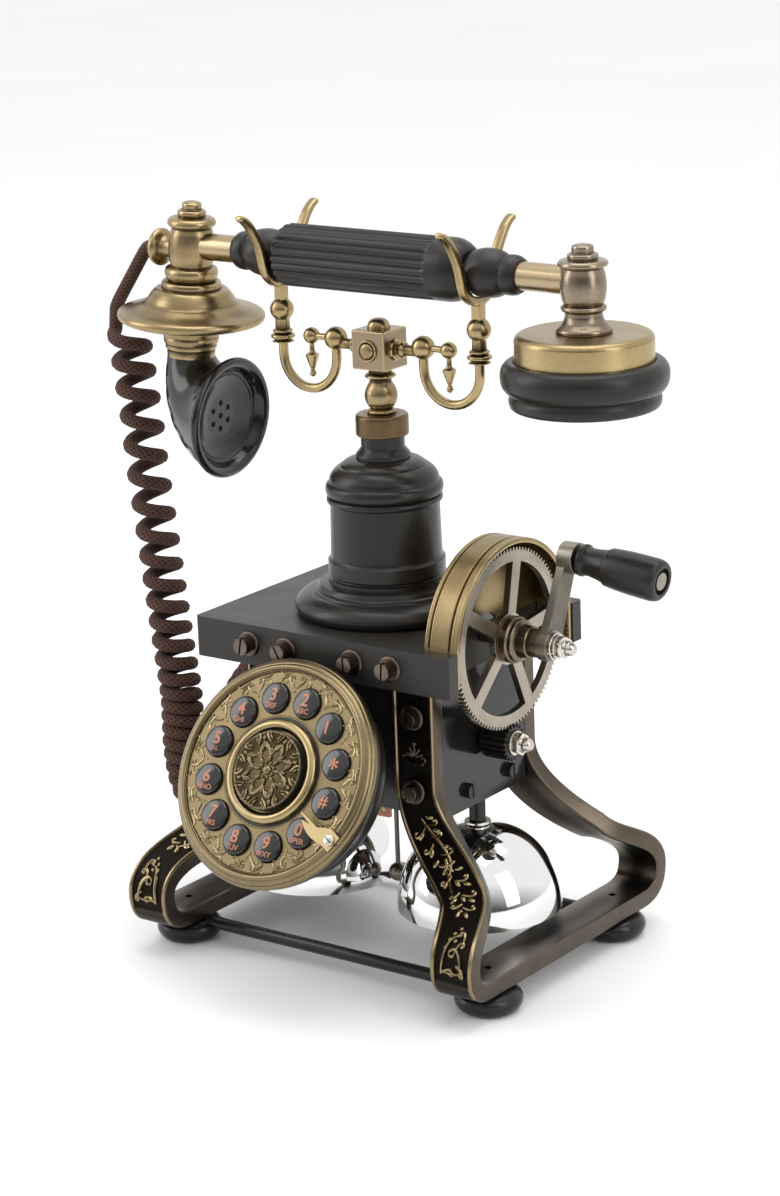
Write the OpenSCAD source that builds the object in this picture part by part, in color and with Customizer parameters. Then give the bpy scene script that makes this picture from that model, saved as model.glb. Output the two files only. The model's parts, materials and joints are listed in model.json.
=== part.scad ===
// Desk crank telephone on a cast skeleton stand.
// +Z is up, the push-button dial faces -Y and the crank is on +X.
// The origin is on the table, midway between the four feet.
// All sizes are millimetres.

/* [Stand] */
// width of the top plate, left to right
plate_w = 125; // [110:1:140]
// depth of the top plate, front to back
plate_d = 96.6; // [85:0.1:110]
// thickness of the top plate
plate_t = 16.8; // [12:0.1:20]
// height of the top plate's upper face above the table
plate_top = 142.8; // [135:0.1:150]
// sideways distance from the middle to a foot
foot_x = 76; // [70:1:84]
// front to back distance from the middle to a foot
foot_y = 46; // [40:1:52]
// radius of a bun foot
foot_r = 13.8; // [10:0.1:16]
// width of the cast strip of a side frame
strip_w = 19.6; // [16:0.1:22]
// thickness of the cast strip of a side frame
strip_t = 7.5; // [6:0.1:9]

/* [Generator box] */
// half width of the box
box_x = 45.5; // [44:0.1:46]
// half depth of the box
box_y = 29; // [26:0.1:29]
// height of the underside of the box
box_bottom = 68; // [62:1:72]

/* [Crank train] */
// height of the crank axis
crank_z = 138; // [137:0.1:138.5]
// teeth on the large gear
gear_teeth = 104; // [104:104]
// teeth on the pinion
pinion_teeth = 20; // [20:20]
// gear module
module_mm = 0.7; // [0.7:0.7]
// length of the crank arm between its two axes
arm_len = 35.8; // [30:0.1:38]
// angle of the parked crank arm behind the vertical
arm_lean = 25; // [0:1:40]
// angle of the handle's spindle below the level, in degrees
grip_dip = 6.5; // [0:0.5:8]

/* [Dial] */
// radius of the dial's brass bezel
bezel_r = 46.6; // [42:0.1:48]
// radius of the circle that the twelve buttons stand on
key_circle = 30; // [28:0.1:31]
// radius of one button
key_r = 6.3; // [5:0.1:6.6]
// backward tilt of the dial face from the vertical
dial_tilt = 29.7; // [20:0.1:35]
// travel of a button
key_travel = 1.5; // [1:0.1:1.8]

/* [Bells] */
// radius of a gong at its mouth
bell_r = 33.9; // [30:0.1:34]
// height of a gong's mouth above the table
bell_mouth = 22; // [20:0.5:24]

/* [Handset] */
// height of the handset's axis
handset_z = 284.8; // [280:0.1:290]
// radius of the fluted grip
grip_r = 12.7; // [11:0.1:14]
// distance from the middle to the mouthpiece axis
mouth_x = 96.3; // [90:0.1:100]
// distance from the middle to the earpiece axis
ear_x = 97; // [90:0.1:100]
// lean of the mouthpiece from the vertical, in degrees
mouth_lean = 4; // [0:0.5:6]
// outer diameter of the curly cord's coil
coil_od = 19; // [16:0.5:22]

/* [Hidden] */
$fn = 48;
fit = 0.05;
plate_bot = plate_top - plate_t;
// a slot in the right of the top plate takes the gear and its hood
slot_x = 46;
slot_y = 41;
// a round inlet in the rear wall takes the line cord
inlet_r = 3;
pitch_r = module_mm * gear_teeth / 2;
pinion_pitch_r = module_mm * pinion_teeth / 2;
pinion_z = crank_z - pitch_r - pinion_pitch_r;
hood_r = 41;
hood_wall = 2.2;
hood_front = 62;
gear_x = 56.2;
gear_t = 3;
shaft_r = 3;
arm_x = 75;
arm_y = arm_len * sin(arm_lean);
arm_z = crank_z + arm_len * cos(arm_lean);
// the dial's own axis system: its middle, then z out of the face
dial_c = [0, -81.7, 96.4];
face_r = 41;
hole_r = key_r + fit;
face_top = -1;
face_t = 2;
cup_back = -24;
stem_end = -8.4;
board_z = stem_end - key_travel - 2.1;
bell_x = 41;
bell_top = 57.3;
clapper_z = 58;
// cradle
cradle_half = 8;
cradle_z = 250.5;
fork_x = 48.4;
fork_t = 4;
arm_ball_x = 21.5;
arm_ball_z = 252.4;
stem_r = 3;
collar_top = 224;
grip_end = 45.6;
tube_r = 5.6;
// horn of the mouthpiece
horn_face_x = -76.4;
horn_z = 215;
horn_r = 24.8;
horn_neck_r = 10;
horn_neck_z = 238.6;
// ear cap
ear_r = 32.6;
can_r = 27;

// curly cord: from the knob on the mouthpiece, down in a hanging loop, to the gland
lead_pts = [[-117.7, 0, 283], [-120.6, 0, 282.3], [-124, 0, 278.6], [-130, 0, 269], [-136, 0, 258],
    [-138.4, 0, 251]];
coil_pts = [[-131, 0, 243], [-128.4, 0, 224], [-126.4, 0, 208], [-125, 0, 190], [-122, 0, 164],
    [-119, 0, 138], [-116, 0, 112], [-113, 0, 88], [-112, -1, 64], [-111, 2, 46], [-109, 10, 36],
    [-105, 19, 43], [-101, 19, 62], [-94, 17, 82], [-79, 13, 99], [-64, 9, 107]];
tail_pts = [[-58, 8, 109.8], [-52.4, 8, 110]];
cord_r = 2.6;
cord_sides = 10;

// outline of a side frame from the top of its front leg to the middle of its bottom bar:
// bezier stretches of [x, y, z]
leg_x = 36.3;
leg_y = -box_y - strip_t / 2 - 0.05;
bar_z = 13.6;
leg_beziers = [
    [[leg_x, leg_y, 84], [leg_x, leg_y, 66], [54, -38, 55], [66, -47, 46]],
    [[66, -47, 46], [73, -52.2, 40.8], [77, -69, 37], [76.5, -69, 25]],
    [[76.5, -69, 25], [76.3, -69, 17], [foot_x, -65, bar_z], [foot_x, -56, bar_z]]];

// ---- shared functions -------------------------------------------------------

function bez(p, t) = pow(1 - t, 3) * p[0] + 3 * pow(1 - t, 2) * t * p[1]
    + 3 * (1 - t) * t * t * p[2] + pow(t, 3) * p[3];
function unit(v) = v / norm(v);
// a smooth curve through points p, with n steps between neighbours
function spline_at(p, i, t) = let(a = p[max(i - 1, 0)], b = p[i], c = p[i + 1], d = p[min(i + 2, len(p) - 1)])
    0.5 * (2 * b + (c - a) * t + (2 * a - 5 * b + 4 * c - d) * t * t + (3 * b - a - 3 * c + d) * t * t * t);
function smooth(p, n) = concat([for (i = [0:len(p) - 2]) for (k = [0:n - 1]) spline_at(p, i, k / n)],
    [p[len(p) - 1]]);
function tangent(p, i) = unit(p[min(i + 1, len(p) - 1)] - p[max(i - 1, 0)]);
// triangles that join rings of m points each, with a fan of triangles over both ends
function skin_faces(rings, m) = let(end = (rings - 1) * m) concat(
    [for (i = [0:rings - 2]) for (k = [0:m - 1]) [i * m + k, i * m + (k + 1) % m, (i + 1) * m + (k + 1) % m]],
    [for (i = [0:rings - 2]) for (k = [0:m - 1]) [i * m + k, (i + 1) * m + (k + 1) % m, (i + 1) * m + k]],
    [for (k = [1:m - 2]) [0, k + 1, k]], [for (k = [1:m - 2]) [end, end + k, end + k + 1]]);

// ---- shared shapes ----------------------------------------------------------

// a solid of revolution about +Z from [radius, height] points
module turned(pts) {
    rotate_extrude($fn = 64) polygon(pts);
}

// a cylinder along +X from x0 to x1
module rod_x(x0, x1, r, y = 0, z = 0) {
    translate([x0, y, z]) rotate([0, 90, 0]) cylinder(h = x1 - x0, r = r);
}

// a cylinder along +Y from y0 to y1
module rod_y(y0, y1, r, x = 0, z = 0) {
    translate([x, y0, z]) rotate([-90, 0, 0]) cylinder(h = y1 - y0, r = r);
}

module rod_z(z0, z1, r, x = 0, y = 0) {
    translate([x, y, z0]) cylinder(h = z1 - z0, r = r);
}

// a copy on each side of the middle
module both_sides() {
    children();
    mirror([1, 0, 0]) children();
}

// the dial's axes, with +Z out of its face
module on_dial() {
    translate(dial_c) rotate([90 - dial_tilt, 0, 0]) children();
}

// a slotted cheese head screw with its washer, pointing out along +Z from z = 0
module cheese_screw(rise) {
    difference() {
        union() {
            cylinder(h = 1, r = 4.4);
            cylinder(h = rise, r = 1.9);
            translate([0, 0, rise - 3]) cylinder(h = 3, r = 2.9);
        }
        translate([-4, -0.4, rise - 1.1]) cube([8, 0.8, 2]);
    }
}

// an acorn nut on a hexagon and a washer, along +X from x0
module acorn_nut_x(x0, z, bore) {
    translate([x0, 0, z]) rotate([0, 90, 0]) difference() {
        union() {
            cylinder(h = 1.4, r = 5);
            translate([0, 0, 1.4]) cylinder(h = 3, r = 4.2, $fn = 6);
            translate([0, 0, 4.4]) cylinder(h = 1.6, r = 2.9);
            translate([0, 0, 6]) sphere(r = 2.9);
        }
        translate([0, 0, -1]) cylinder(h = 6.4, r = bore);
    }
}

// a spur gear outline with n teeth; the first tooth points along +X
module gear_outline(n) {
    r = module_mm * n / 2;
    step = 360 / n;
    tip = r + 0.55;
    root = r - 0.75;
    polygon([for (k = [0:n - 1]) for (q = [[-0.3, root], [-0.13, tip], [0.13, tip], [0.3, root]])
        q[1] * [cos(step * (k + q[0])), sin(step * (k + q[0]))]]);
}

// ---- stand ------------------------------------------------------------------

module top_plate() {
    w = plate_w / 2;
    d = plate_d / 2;
    c = 1.2;
    color([0.16, 0.16, 0.15]) difference() {
        translate([0, 0, plate_bot]) linear_extrude(plate_t) polygon([[-w, -d + c], [-w + c, -d],
            [w - c, -d], [w, -d + c], [w, -slot_y], [slot_x, -slot_y], [slot_x, slot_y], [w, slot_y],
            [w, d - c], [w - c, d], [-w + c, d], [-w, d - c]]);
        rod_x(22, slot_x + 1, shaft_r + fit, 0, crank_z);
    }
}

module generator_box() {
    wall = 2.5;
    h = plate_bot - box_bottom;
    color([0.05, 0.05, 0.05]) difference() {
        translate([-box_x, -box_y, box_bottom]) cube([2 * box_x, 2 * box_y, h]);
        translate([-box_x + wall, -box_y + wall, box_bottom + wall])
            cube([2 * (box_x - wall), 2 * (box_y - wall), h]);
        rod_x(-box_x - 1, box_x + 1, 2.5 + fit, 0, pinion_z);
        rod_x(-box_x - 1, -box_x + wall + 1, 3.2 + fit, 8, 110);
        rod_y(box_y - wall - 1, box_y + 1, inlet_r, 0, 75);
    }
}

module slotted_screws() {
    // the lower leg screws stand on the start of the bend, so they stand a little further out
    seats = [[80.7, 0], [111.6, 0.45]];
    color([0.55, 0.47, 0.33]) {
        for (x = [-35, -16.5, 16.5, 35])
            translate([x, -plate_d / 2, 134.8]) rotate([90, 0, 0]) rotate([0, 0, 72]) cheese_screw(6);
        both_sides() for (s = seats) {
            translate([leg_x, -box_y - strip_t + s[1], s[0]]) rotate([90, 0, 0]) cheese_screw(3.8);
            translate([leg_x, box_y + strip_t - s[1], s[0]]) rotate([-90, 0, 0]) cheese_screw(3.8);
        }
        for (y = [-12.6, 17]) translate([box_x, y, 75.6]) rotate([0, 90, 0]) cheese_screw(3.6);
    }
}

// rings of eight points along one side frame; rec is how deep the outer face's panel is sunk
function strip_ring(p, t, rec) = let(w = -unit([1, 0, 0] - t[0] * t), n = cross(w, t),
    a = strip_w / 2, b = strip_t / 2)
    [for (q = [[-a, -b], [a, -b], [a, b], [a - 1.8, b], [a - 2.6, b - rec], [-a + 2.6, b - rec],
        [-a + 1.8, b], [-a, b]]) p + q[0] * w + q[1] * n];
function half_frame() = concat([[leg_x, leg_y, plate_bot - 0.01], [leg_x, leg_y, 90]],
    [for (s = leg_beziers) for (k = [0:6]) bez(s, k / 7)], [[foot_x, -56, bar_z]]);
function frame_path() = let(h = half_frame(), n = len(h))
    concat(h, [for (i = [n - 1:-1:0]) [h[i][0], -h[i][1], h[i][2]]]);

module side_frame() {
    p = frame_path();
    n = len(p);
    rings = [for (i = [0:n - 1]) strip_ring(p[i], tangent(p, i), p[i][2] > 20 ? 0.8 : 0)];
    color([0.13, 0.12, 0.1]) polyhedron([for (r = rings) each r], skin_faces(n, 8), convexity = 6);
}

module side_frame_right() {
    side_frame();
}

module side_frame_left() {
    mirror([1, 0, 0]) side_frame();
}

module bun_feet() {
    foot_h = 9.3;
    top = bar_z - strip_t / 2;
    color([0.03, 0.03, 0.03]) for (x = [-foot_x, foot_x]) for (y = [-foot_y, foot_y]) translate([x, y, 0])
        turned([[0, 0], [foot_r - 5, 0], [foot_r - 1.6, 1.4], [foot_r - 0.2, 3.4], [foot_r, 4.8],
            [foot_r - 0.6, 6.6], [foot_r - 2.6, foot_h - 0.9], [foot_r - 5, foot_h], [6, foot_h], [6, top],
            [0, top]]);
}

module tie_bars() {
    reach = foot_x - strip_w / 2 - 0.3;
    color([0.12, 0.11, 0.1]) for (y = [-foot_y, foot_y]) rod_x(-reach, reach, 2.7, y, 8.3);
}

module column_shell() {
    color([0.04, 0.04, 0.04]) turned([[30, plate_top], [36, plate_top], [37.4, plate_top + 1.6],
        [37.2, plate_top + 3.2], [35, plate_top + 4.8], [30.5, plate_top + 6.4], [28.4, 151], [27.6, 153],
        [23.8, 153.6], [23.8, 157], [22.8, 157.8], [23.8, 158.6], [23.8, 164.4], [22.9, 165.4],
        [22.7, 168], [22.2, 187.6], [23.2, 188.4], [23.7, 190], [23.7, 196.6], [22.9, 198.4], [20, 201.6],
        [14, 205.2], [10.8, 206.5], [10.8, 210], [8.8, 210.4], [8.8, 215], [stem_r + fit, 215],
        [stem_r + fit, 200], [19, 196], [19, 160], [26, 148]]);
}

module column_collar() {
    color([0.42, 0.33, 0.22]) turned([[stem_r + fit, 215], [9.4, 215], [10.7, 216], [10.7, 219],
        [9.9, 219.6], [10.7, 220.2], [10.7, 223], [9.6, collar_top], [stem_r + fit, collar_top]]);
}

module gear_hood() {
    low = 128;
    wall_x = 46.4;
    color([0.62, 0.52, 0.34]) {
        intersection() {
            translate([wall_x, 0, crank_z]) rotate([0, 90, 0]) turned([[9, 0], [hood_r, 0], [hood_r, 1.6],
                [hood_r - 0.8, 2], [hood_r - 0.8, 2.6], [hood_r, 3], [hood_r, 10.8], [hood_r - 0.8, 11.2],
                [hood_r - 0.8, 11.8], [hood_r, 12.2], [hood_r, hood_front - wall_x],
                [hood_r - hood_wall, hood_front - wall_x], [hood_r - hood_wall, 1.4], [9, 1.4]]);
            translate([wall_x - 1, -60, plate_top]) cube([20, 120, 60]);
        }
        for (s = [-1, 1]) translate([wall_x, s > 0 ? hood_r - hood_wall + 0.1 : -slot_y, low])
            cube([hood_front - wall_x, slot_y - hood_r + hood_wall - 0.1, plate_top - low]);
    }
}

// ---- dial -------------------------------------------------------------------

module dial_bracket() {
    color([0.08, 0.08, 0.08]) {
        translate([-14, -box_y - 3, 74]) cube([28, 3, 30]);
        translate([-3, 0, 0]) rotate([90, 0, 90]) linear_extrude(6) polygon([[-box_y - 3, 76],
            [-box_y - 3, 102], [-53, 94], [-62, 78]]);
        on_dial() translate([0, -2, cup_back - 3]) cylinder(h = 3, r = 12);
    }
}

module dial_housing() {
    color([0.04, 0.04, 0.04]) on_dial() turned([[0, cup_back], [37, cup_back], [40, cup_back + 2.2],
        [41, -15.6], [43, -12.4], [45, -9], [45.8, -6], [43.4, -6], [41.6, -11.6], [39.2, -15.6],
        [38, cup_back + 3.6], [0, cup_back + 3.6]]);
}

module dial_bezel() {
    color([0.62, 0.53, 0.35]) on_dial() turned([[face_r + 0.02, -5.9], [bezel_r - 1, -5.9],
        [bezel_r, -4.6], [bezel_r, -2.4], [bezel_r - 1.2, -0.8], [bezel_r - 3, 0.4], [face_r + 1, 0.6],
        [face_r + 0.02, 0]]);
}

module dial_face() {
    color([0.55, 0.48, 0.34]) on_dial() difference() {
        translate([0, 0, face_top - face_t]) cylinder(h = face_t, r = face_r);
        for (k = [0:11]) rotate(15 + 30 * k) translate([key_circle, 0, -5]) cylinder(h = 9, r = hole_r);
    }
}

module dial_centre() {
    color([0.72, 0.6, 0.36]) on_dial() {
        turned([[16.4, face_top], [21.2, face_top], [21.2, 0], [20.4, 1.3], [19, 1.9], [17.4, 1.3],
            [16.4, 0]]);
        difference() {
            turned([[0, face_top], [16, face_top], [16, 2.4], [15.4, 3], [14.8, 2.7], [0, 2.7]]);
            for (k = [0:7]) rotate(45 * k) translate([9.5, 0, 2.1]) cylinder(h = 3, r = 2.6);
        }
    }
}

// a pointed plate from the bezel inwards, between two buttons
module finger_stop() {
    color([0.7, 0.6, 0.4]) on_dial() rotate(-30) difference() {
        union() {
            translate([0, 0, 1.9]) linear_extrude(1.2) polygon([[25.5, -0.4], [26.4, 1.2], [34, 2],
                [41, 4.2], [46.4, 3.6], [46.4, -3.6], [41, -4.2], [34, -2.6]]);
            translate([44, 0, 0.2]) cylinder(h = 1.8, r = 2.4);
            translate([44, 0, 3]) cylinder(h = 1.2, r = 2.2);
        }
        translate([41, -0.35, 3.6]) cube([6, 0.7, 2]);
    }
}

module keypad_board() {
    color([0.1, 0.3, 0.16]) on_dial() difference() {
        translate([0, 0, board_z]) cylinder(h = 1.6, r = 40.6);
        translate([0, 0, board_z - 1]) cylinder(h = 4, r = 8);
    }
}

// one button: a domed cap, a flange that keeps it behind the face, and a stem
module key(k) {
    color([0.03, 0.03, 0.03]) on_dial() rotate(45 + 30 * k) translate([key_circle, 0, 0])
        turned([[0, stem_end], [2, stem_end], [2, -4.9], [key_r + 0.7, -4.9], [key_r + 0.7, -3.4], [key_r, -3.4],
            [key_r, 0], [key_r - 0.6, 0.6], [key_r - 2.4, 1.1], [0, 1.4]]);
}

module key_1() { key(0); }
module key_2() { key(1); }
module key_3() { key(2); }
module key_4() { key(3); }
module key_5() { key(4); }
module key_6() { key(5); }
module key_7() { key(6); }
module key_8() { key(7); }
module key_9() { key(8); }
module key_0() { key(9); }
module key_hash() { key(10); }
module key_star() { key(11); }

// ---- ringer -----------------------------------------------------------------

// half of a gong's section, an even shell under a quarter oval
function oval(r, top, k) = [for (i = [0:k]) [r * cos(i * 84 / k), bell_mouth + (top - bell_mouth)
    * pow(sin(i * 84 / k), 0.9)]];
module bell() {
    wall = 1.5;
    outer = oval(bell_r, bell_top, 9);
    inner = oval(bell_r - wall, bell_top - wall, 9);
    turned(concat([for (p = outer) p], [[2.05, bell_top]], [[2.05, bell_top - wall]],
        [for (i = [9:-1:0]) inner[i]]));
}

module bell_right() {
    color([0.8, 0.8, 0.8]) translate([bell_x, 0, 0]) bell();
}

module bell_left() {
    color([0.8, 0.8, 0.8]) translate([-bell_x, 0, 0]) bell();
}

module bell_posts() {
    color([0.05, 0.05, 0.05]) both_sides() translate([bell_x, 0, 0]) {
        rod_z(bell_top + 1.2, box_bottom, 3.4);
        rod_z(51, bell_top + 1.2, 2);
    }
}

module bell_washers() {
    color([0.8, 0.8, 0.8]) both_sides() translate([bell_x, 0, 0]) {
        difference() {
            rod_z(bell_top, bell_top + 1.2, 5.4);
            rod_z(bell_top - 1, bell_top + 3, 2);
        }
        difference() {
            translate([0, 0, 52]) cylinder(h = bell_top - 2.2 - 52, r = 4.2, $fn = 6);
            rod_z(50, bell_top, 2);
        }
    }
}

module ringer_yoke() {
    color([0.5, 0.3, 0.16]) difference() {
        union() {
            translate([-20, -9, 66]) cube([40, 18, 2]);
            for (x = [-11, 11]) rod_z(60.8, 66, 5.6, x);
            for (y = [-9, 7]) translate([-3, y, 55]) cube([6, 2, 11]);
        }
        rod_y(-10, 10, 1 + fit, 0, clapper_z);
    }
}

module clapper() {
    color([0.35, 0.33, 0.3]) {
        rod_y(-8.8, 8.8, 1, 0, clapper_z);
        translate([-15, -3, clapper_z - 1]) cube([30, 6, 1.8]);
        rod_z(30, clapper_z, 1);
        translate([0, 0, 28]) sphere(r = 4);
    }
}

// ---- generator and crank ----------------------------------------------------

module field_magnets() {
    color([0.3, 0.1, 0.08]) difference() {
        translate([-26, -22, 80]) cube([52, 44, plate_bot - 80]);
        rod_x(-27, 27, 13, 0, pinion_z);
        translate([-27, -7, 79]) cube([54, 14, 10]);
    }
}

module armature() {
    color([0.55, 0.35, 0.2]) {
        rod_x(-box_x, 65, 2.5, 0, pinion_z);
        rod_x(-28, 28, 12, 0, pinion_z);
    }
}

module pinion() {
    color([0.05, 0.05, 0.05]) translate([48, 0, pinion_z]) rotate([90, 0, 90]) difference() {
        union() {
            linear_extrude(12) rotate(90 + 180 / pinion_teeth) gear_outline(pinion_teeth);
            translate([0, 0, -1.5]) cylinder(h = 1.5, r = 5);
        }
        translate([0, 0, -2]) cylinder(h = 16, r = 2.5);
    }
}

module pinion_nut() {
    color([0.75, 0.7, 0.6]) acorn_nut_x(60, pinion_z, 2.5);
}

module main_gear() {
    color([0.6, 0.58, 0.52]) translate([gear_x, 0, crank_z]) rotate([90, 0, 90]) difference() {
        linear_extrude(gear_t) gear_outline(gear_teeth);
        // five openings leave five spokes
        for (k = [0:4]) rotate(78 + 72 * k) translate([0, 0, -1]) linear_extrude(gear_t + 2)
            polygon(concat([for (i = [0:8]) 31.3 * [cos(5.2 + i * 7.7), sin(5.2 + i * 7.7)]],
                [for (i = [8:-1:0]) 10.5 * [cos(15 + i * 5.25), sin(15 + i * 5.25)]]));
        translate([0, 0, -1]) cylinder(h = gear_t + 2, r = shaft_r);
    }
}

module crank_shaft() {
    boss = gear_x + gear_t;
    color([0.5, 0.4, 0.27]) {
        rod_x(30, 84, shaft_r, 0, crank_z);
        translate([boss, 0, crank_z]) rotate([0, 90, 0]) turned([[0, 0], [9.4, 0], [9.4, 4.2], [8.6, 4.4],
            [8.6, 6], [6.6, 6.4], [6.6, 11], [5.6, 11.2], [5.6, arm_x - boss], [0, arm_x - boss]]);
    }
}

// the spindle's axes at the tip of the arm, with +Z out along it
module on_spindle() {
    translate([arm_x + 8, arm_y, arm_z]) rotate([0, 90 + grip_dip, 0]) children();
}

module crank_arm() {
    color([0.4, 0.38, 0.33]) difference() {
        union() {
            rod_x(arm_x, arm_x + 5, 6.4, 0, crank_z);
            rod_x(arm_x + 1, arm_x + 8, 6.4, arm_y, arm_z);
            translate([arm_x + 1, 0, crank_z]) rotate([-arm_lean, 0, 0]) rotate([90, 0, 90])
                linear_extrude(3.6) polygon([[-5.6, 2], [5.6, 2], [4.2, arm_len - 2], [-4.2, arm_len - 2]]);
            on_spindle() translate([0, 0, -3]) cylinder(h = 39.7, r = 2.5);
            on_spindle() translate([0, 0, 36.7]) cylinder(h = 1.4, r = 3.6);
        }
        rod_x(arm_x - 1, arm_x + 6, shaft_r, 0, crank_z);
    }
}

module crank_nut() {
    color([0.75, 0.7, 0.6]) {
        difference() {
            rod_x(arm_x + 5, arm_x + 6.6, 5.6, 0, crank_z);
            rod_x(arm_x + 4, arm_x + 7, shaft_r, 0, crank_z);
        }
        acorn_nut_x(arm_x + 6.6, crank_z, shaft_r);
    }
}

module crank_grip() {
    color([0.04, 0.04, 0.04]) on_spindle() translate([0, 0, 1]) turned([[2.5 + fit, 0],
        [5.6, 0], [6.4, 1.4], [5.6, 3], [4.9, 5], [5.2, 9], [6.6, 12], [7.6, 15], [8.4, 22], [8.6, 33],
        [7.8, 36.6], [5.2, 37.4], [5.2, 35.4], [2.5 + fit, 35.4]]);
}

// ---- cradle and its switch --------------------------------------------------

module hook_switch() {
    color([0.6, 0.5, 0.3]) {
        translate([-9, -7, plate_top]) cube([18, 14, 4]);
        for (x = [-7, 4]) translate([x, -5, plate_top + 4]) cube([3, 10, 15]);
        translate([-4, -3, plate_top + 17.8]) cube([8, 6, 1.2]);
    }
}

// the coil spring, as a plain sleeve of its outer shape
module hook_spring() {
    color([0.6, 0.6, 0.6]) difference() {
        rod_z(162.3, 173.7, 4.6);
        rod_z(162, 174, 3.6);
    }
}

module cradle_block() {
    z = cradle_z;
    h = cradle_half;
    color([0.05, 0.05, 0.05]) {
        translate([-h, -h, z - h]) cube([2 * h, 2 * h, 2 * h]);
        translate([0, 0, z + h]) turned([[0, 0], [4.6, 0], [4.4, 1.8], [3, 3.4], [0, 4.1]]);
        for (s = [-1, 1]) {
            rod_y(s > 0 ? h : -h - 1.2, s > 0 ? h + 1.2 : -h, 4.5, 0, z);
            rod_y(s > 0 ? h + 1.2 : -h - 2, s > 0 ? h + 2 : -h - 1.2, 2.6, 0, z);
            rod_x(s > 0 ? h : -h - 1.2, s > 0 ? h + 1.2 : -h, 4.5, 0, z);
        }
        turned([[0, 224.3], [5.9, 224.3], [5.9, 225.6], [4.2, 226], [6, 228], [6.7, 231.2], [6, 234.4],
            [4.4, 237], [4.4, 238.6], [6.5, 238.8], [6.5, 242.5], [0, 242.5]]);
        rod_z(176, 224.3, stem_r);
        rod_z(174, 176, 6);
    }
}

module cradle_arms() {
    bend_r = (fork_x - arm_ball_x) / 2;
    color([0.05, 0.05, 0.05]) both_sides() {
        rod_x(cradle_half + 1.2, arm_ball_x, 2.2, 0, arm_ball_z - 1.9);
        translate([arm_ball_x, 0, arm_ball_z]) sphere(r = 4.8);
        rod_x(arm_ball_x, arm_ball_x + 12, 1.4, 0, arm_ball_z);
        translate([arm_ball_x + 12.3, 0, arm_ball_z]) sphere(r = 3.4);
        translate([arm_ball_x + 12.3, 0, 0]) turned([[0, 235.4], [1.2, 236], [1.4, 237], [0.8, 238.4],
            [1.4, 240], [2.8, 244.4], [2.2, 245.6], [0.9, 246.2], [0.9, 250], [0, 250]]);
        rod_z(244, arm_ball_z, 2, arm_ball_x);
        translate([arm_ball_x + bend_r, 0, 244]) rotate([90, 0, 0]) rotate_extrude(angle = -180)
            translate([bend_r, 0]) circle(r = 2);
        rod_z(244, 248.4, 2, fork_x);
        translate([fork_x, 0, 0]) turned([[0, 248.2], [4.6, 248.2], [5, 249], [5, 249.8], [4.4, 250.2],
            [5, 250.6], [5, 251.8], [4.4, 252.2], [5, 252.6], [5, 253.6], [4.6, 254.4], [3, 254.6],
            [3, 258.2], [0, 258.2]]);
        translate([fork_x, 0, 262]) sphere(r = 4.9);
        translate([fork_x - 2.1, -2.1, 262]) cube([4.2, 4.2, 9.2]);
    }
}

// half of a fork's middle line, as [y, z, half width]
function fork_line() = smooth([[0, 273.2, 2.1], [-5.6, 274.6, 2.1], [-9.9, 278.7, 2], [-11.8, 284.5, 1.9],
    [-13.8, 291, 1.8], [-18, 298, 1.6], [-25, 302.4, 0.7]], 3);
function side_pt(p, i, s) = let(a = p[max(i - 1, 0)], b = p[min(i + 1, len(p) - 1)],
    t = unit([b[0] - a[0], b[1] - a[1]])) [p[i][0] - s * t[1] * p[i][2], p[i][1] + s * t[0] * p[i][2]];

module cradle_forks() {
    p = fork_line();
    n = len(p) - 1;
    upper = [for (i = [0:n]) side_pt(p, i, -1)];
    lower = [for (i = [0:n]) side_pt(p, i, 1)];
    half = concat([for (i = [0:n]) upper[i]], [for (i = [n:-1:0]) lower[i]]);
    color([0.05, 0.05, 0.05]) both_sides() translate([fork_x - fork_t / 2, 0, 0]) rotate([90, 0, 90])
        linear_extrude(fork_t) {
            polygon(half);
            mirror([1, 0]) polygon(half);
        }
}

// ---- handset ----------------------------------------------------------------

module handset_grip() {
    flutes = 22;
    band = 14;
    color([0.04, 0.04, 0.04]) translate([-grip_end, 0, handset_z]) rotate([0, 90, 0]) difference() {
        union() {
            translate([0, 0, 1.6]) linear_extrude(2 * grip_end - band - 1.6)
                polygon([for (k = [0:flutes - 1]) for (q = [[0, 0.1], [0.25, -0.7], [0.5, -1], [0.75, -0.7]])
                    (grip_r + q[1]) * [cos(360 / flutes * (k + q[0])), sin(360 / flutes * (k + q[0]))]]);
            cylinder(h = 1.6, r1 = grip_r - 2, r2 = grip_r - 0.8);
            translate([0, 0, 2 * grip_end - band]) turned([[0, 0], [grip_r, 0], [grip_r, 7], [grip_r - 0.9, 10.6],
                [grip_r - 3, 13], [grip_r - 5, band], [0, band]]);
        }
        translate([0, 0, -1]) cylinder(h = 2 * grip_end + 2, r = tube_r);
    }
}

module handset_tube() {
    color([0.68, 0.58, 0.36]) difference() {
        rod_x(-mouth_x + 8.4, ear_x - 6, tube_r, 0, handset_z);
        rod_x(-mouth_x, ear_x, tube_r - 1.4, 0, handset_z);
    }
}

module handset_ends() {
    color([0.04, 0.04, 0.04]) translate([0, 0, handset_z]) difference() {
        both_sides() rotate([0, 90, 0]) turned([[0, grip_end], [7, grip_end], [8.2, grip_end + 1.6],
            [9.5, grip_end + 6], [9.7, grip_end + 9.2], [9.2, grip_end + 13], [7.4, grip_end + 16.6],
            [7.7, grip_end + 17], [7.7, grip_end + 21.6], [6.6, grip_end + 23.4], [0, grip_end + 23.4]]);
        rod_x(-120, 120, tube_r);
    }
}

// the mouthpiece leans a little about the middle of its brim
module at_mouth() {
    translate([-mouth_x, 0, 255]) rotate([0, mouth_lean, 0]) translate([0, 0, -255]) children();
}

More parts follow.
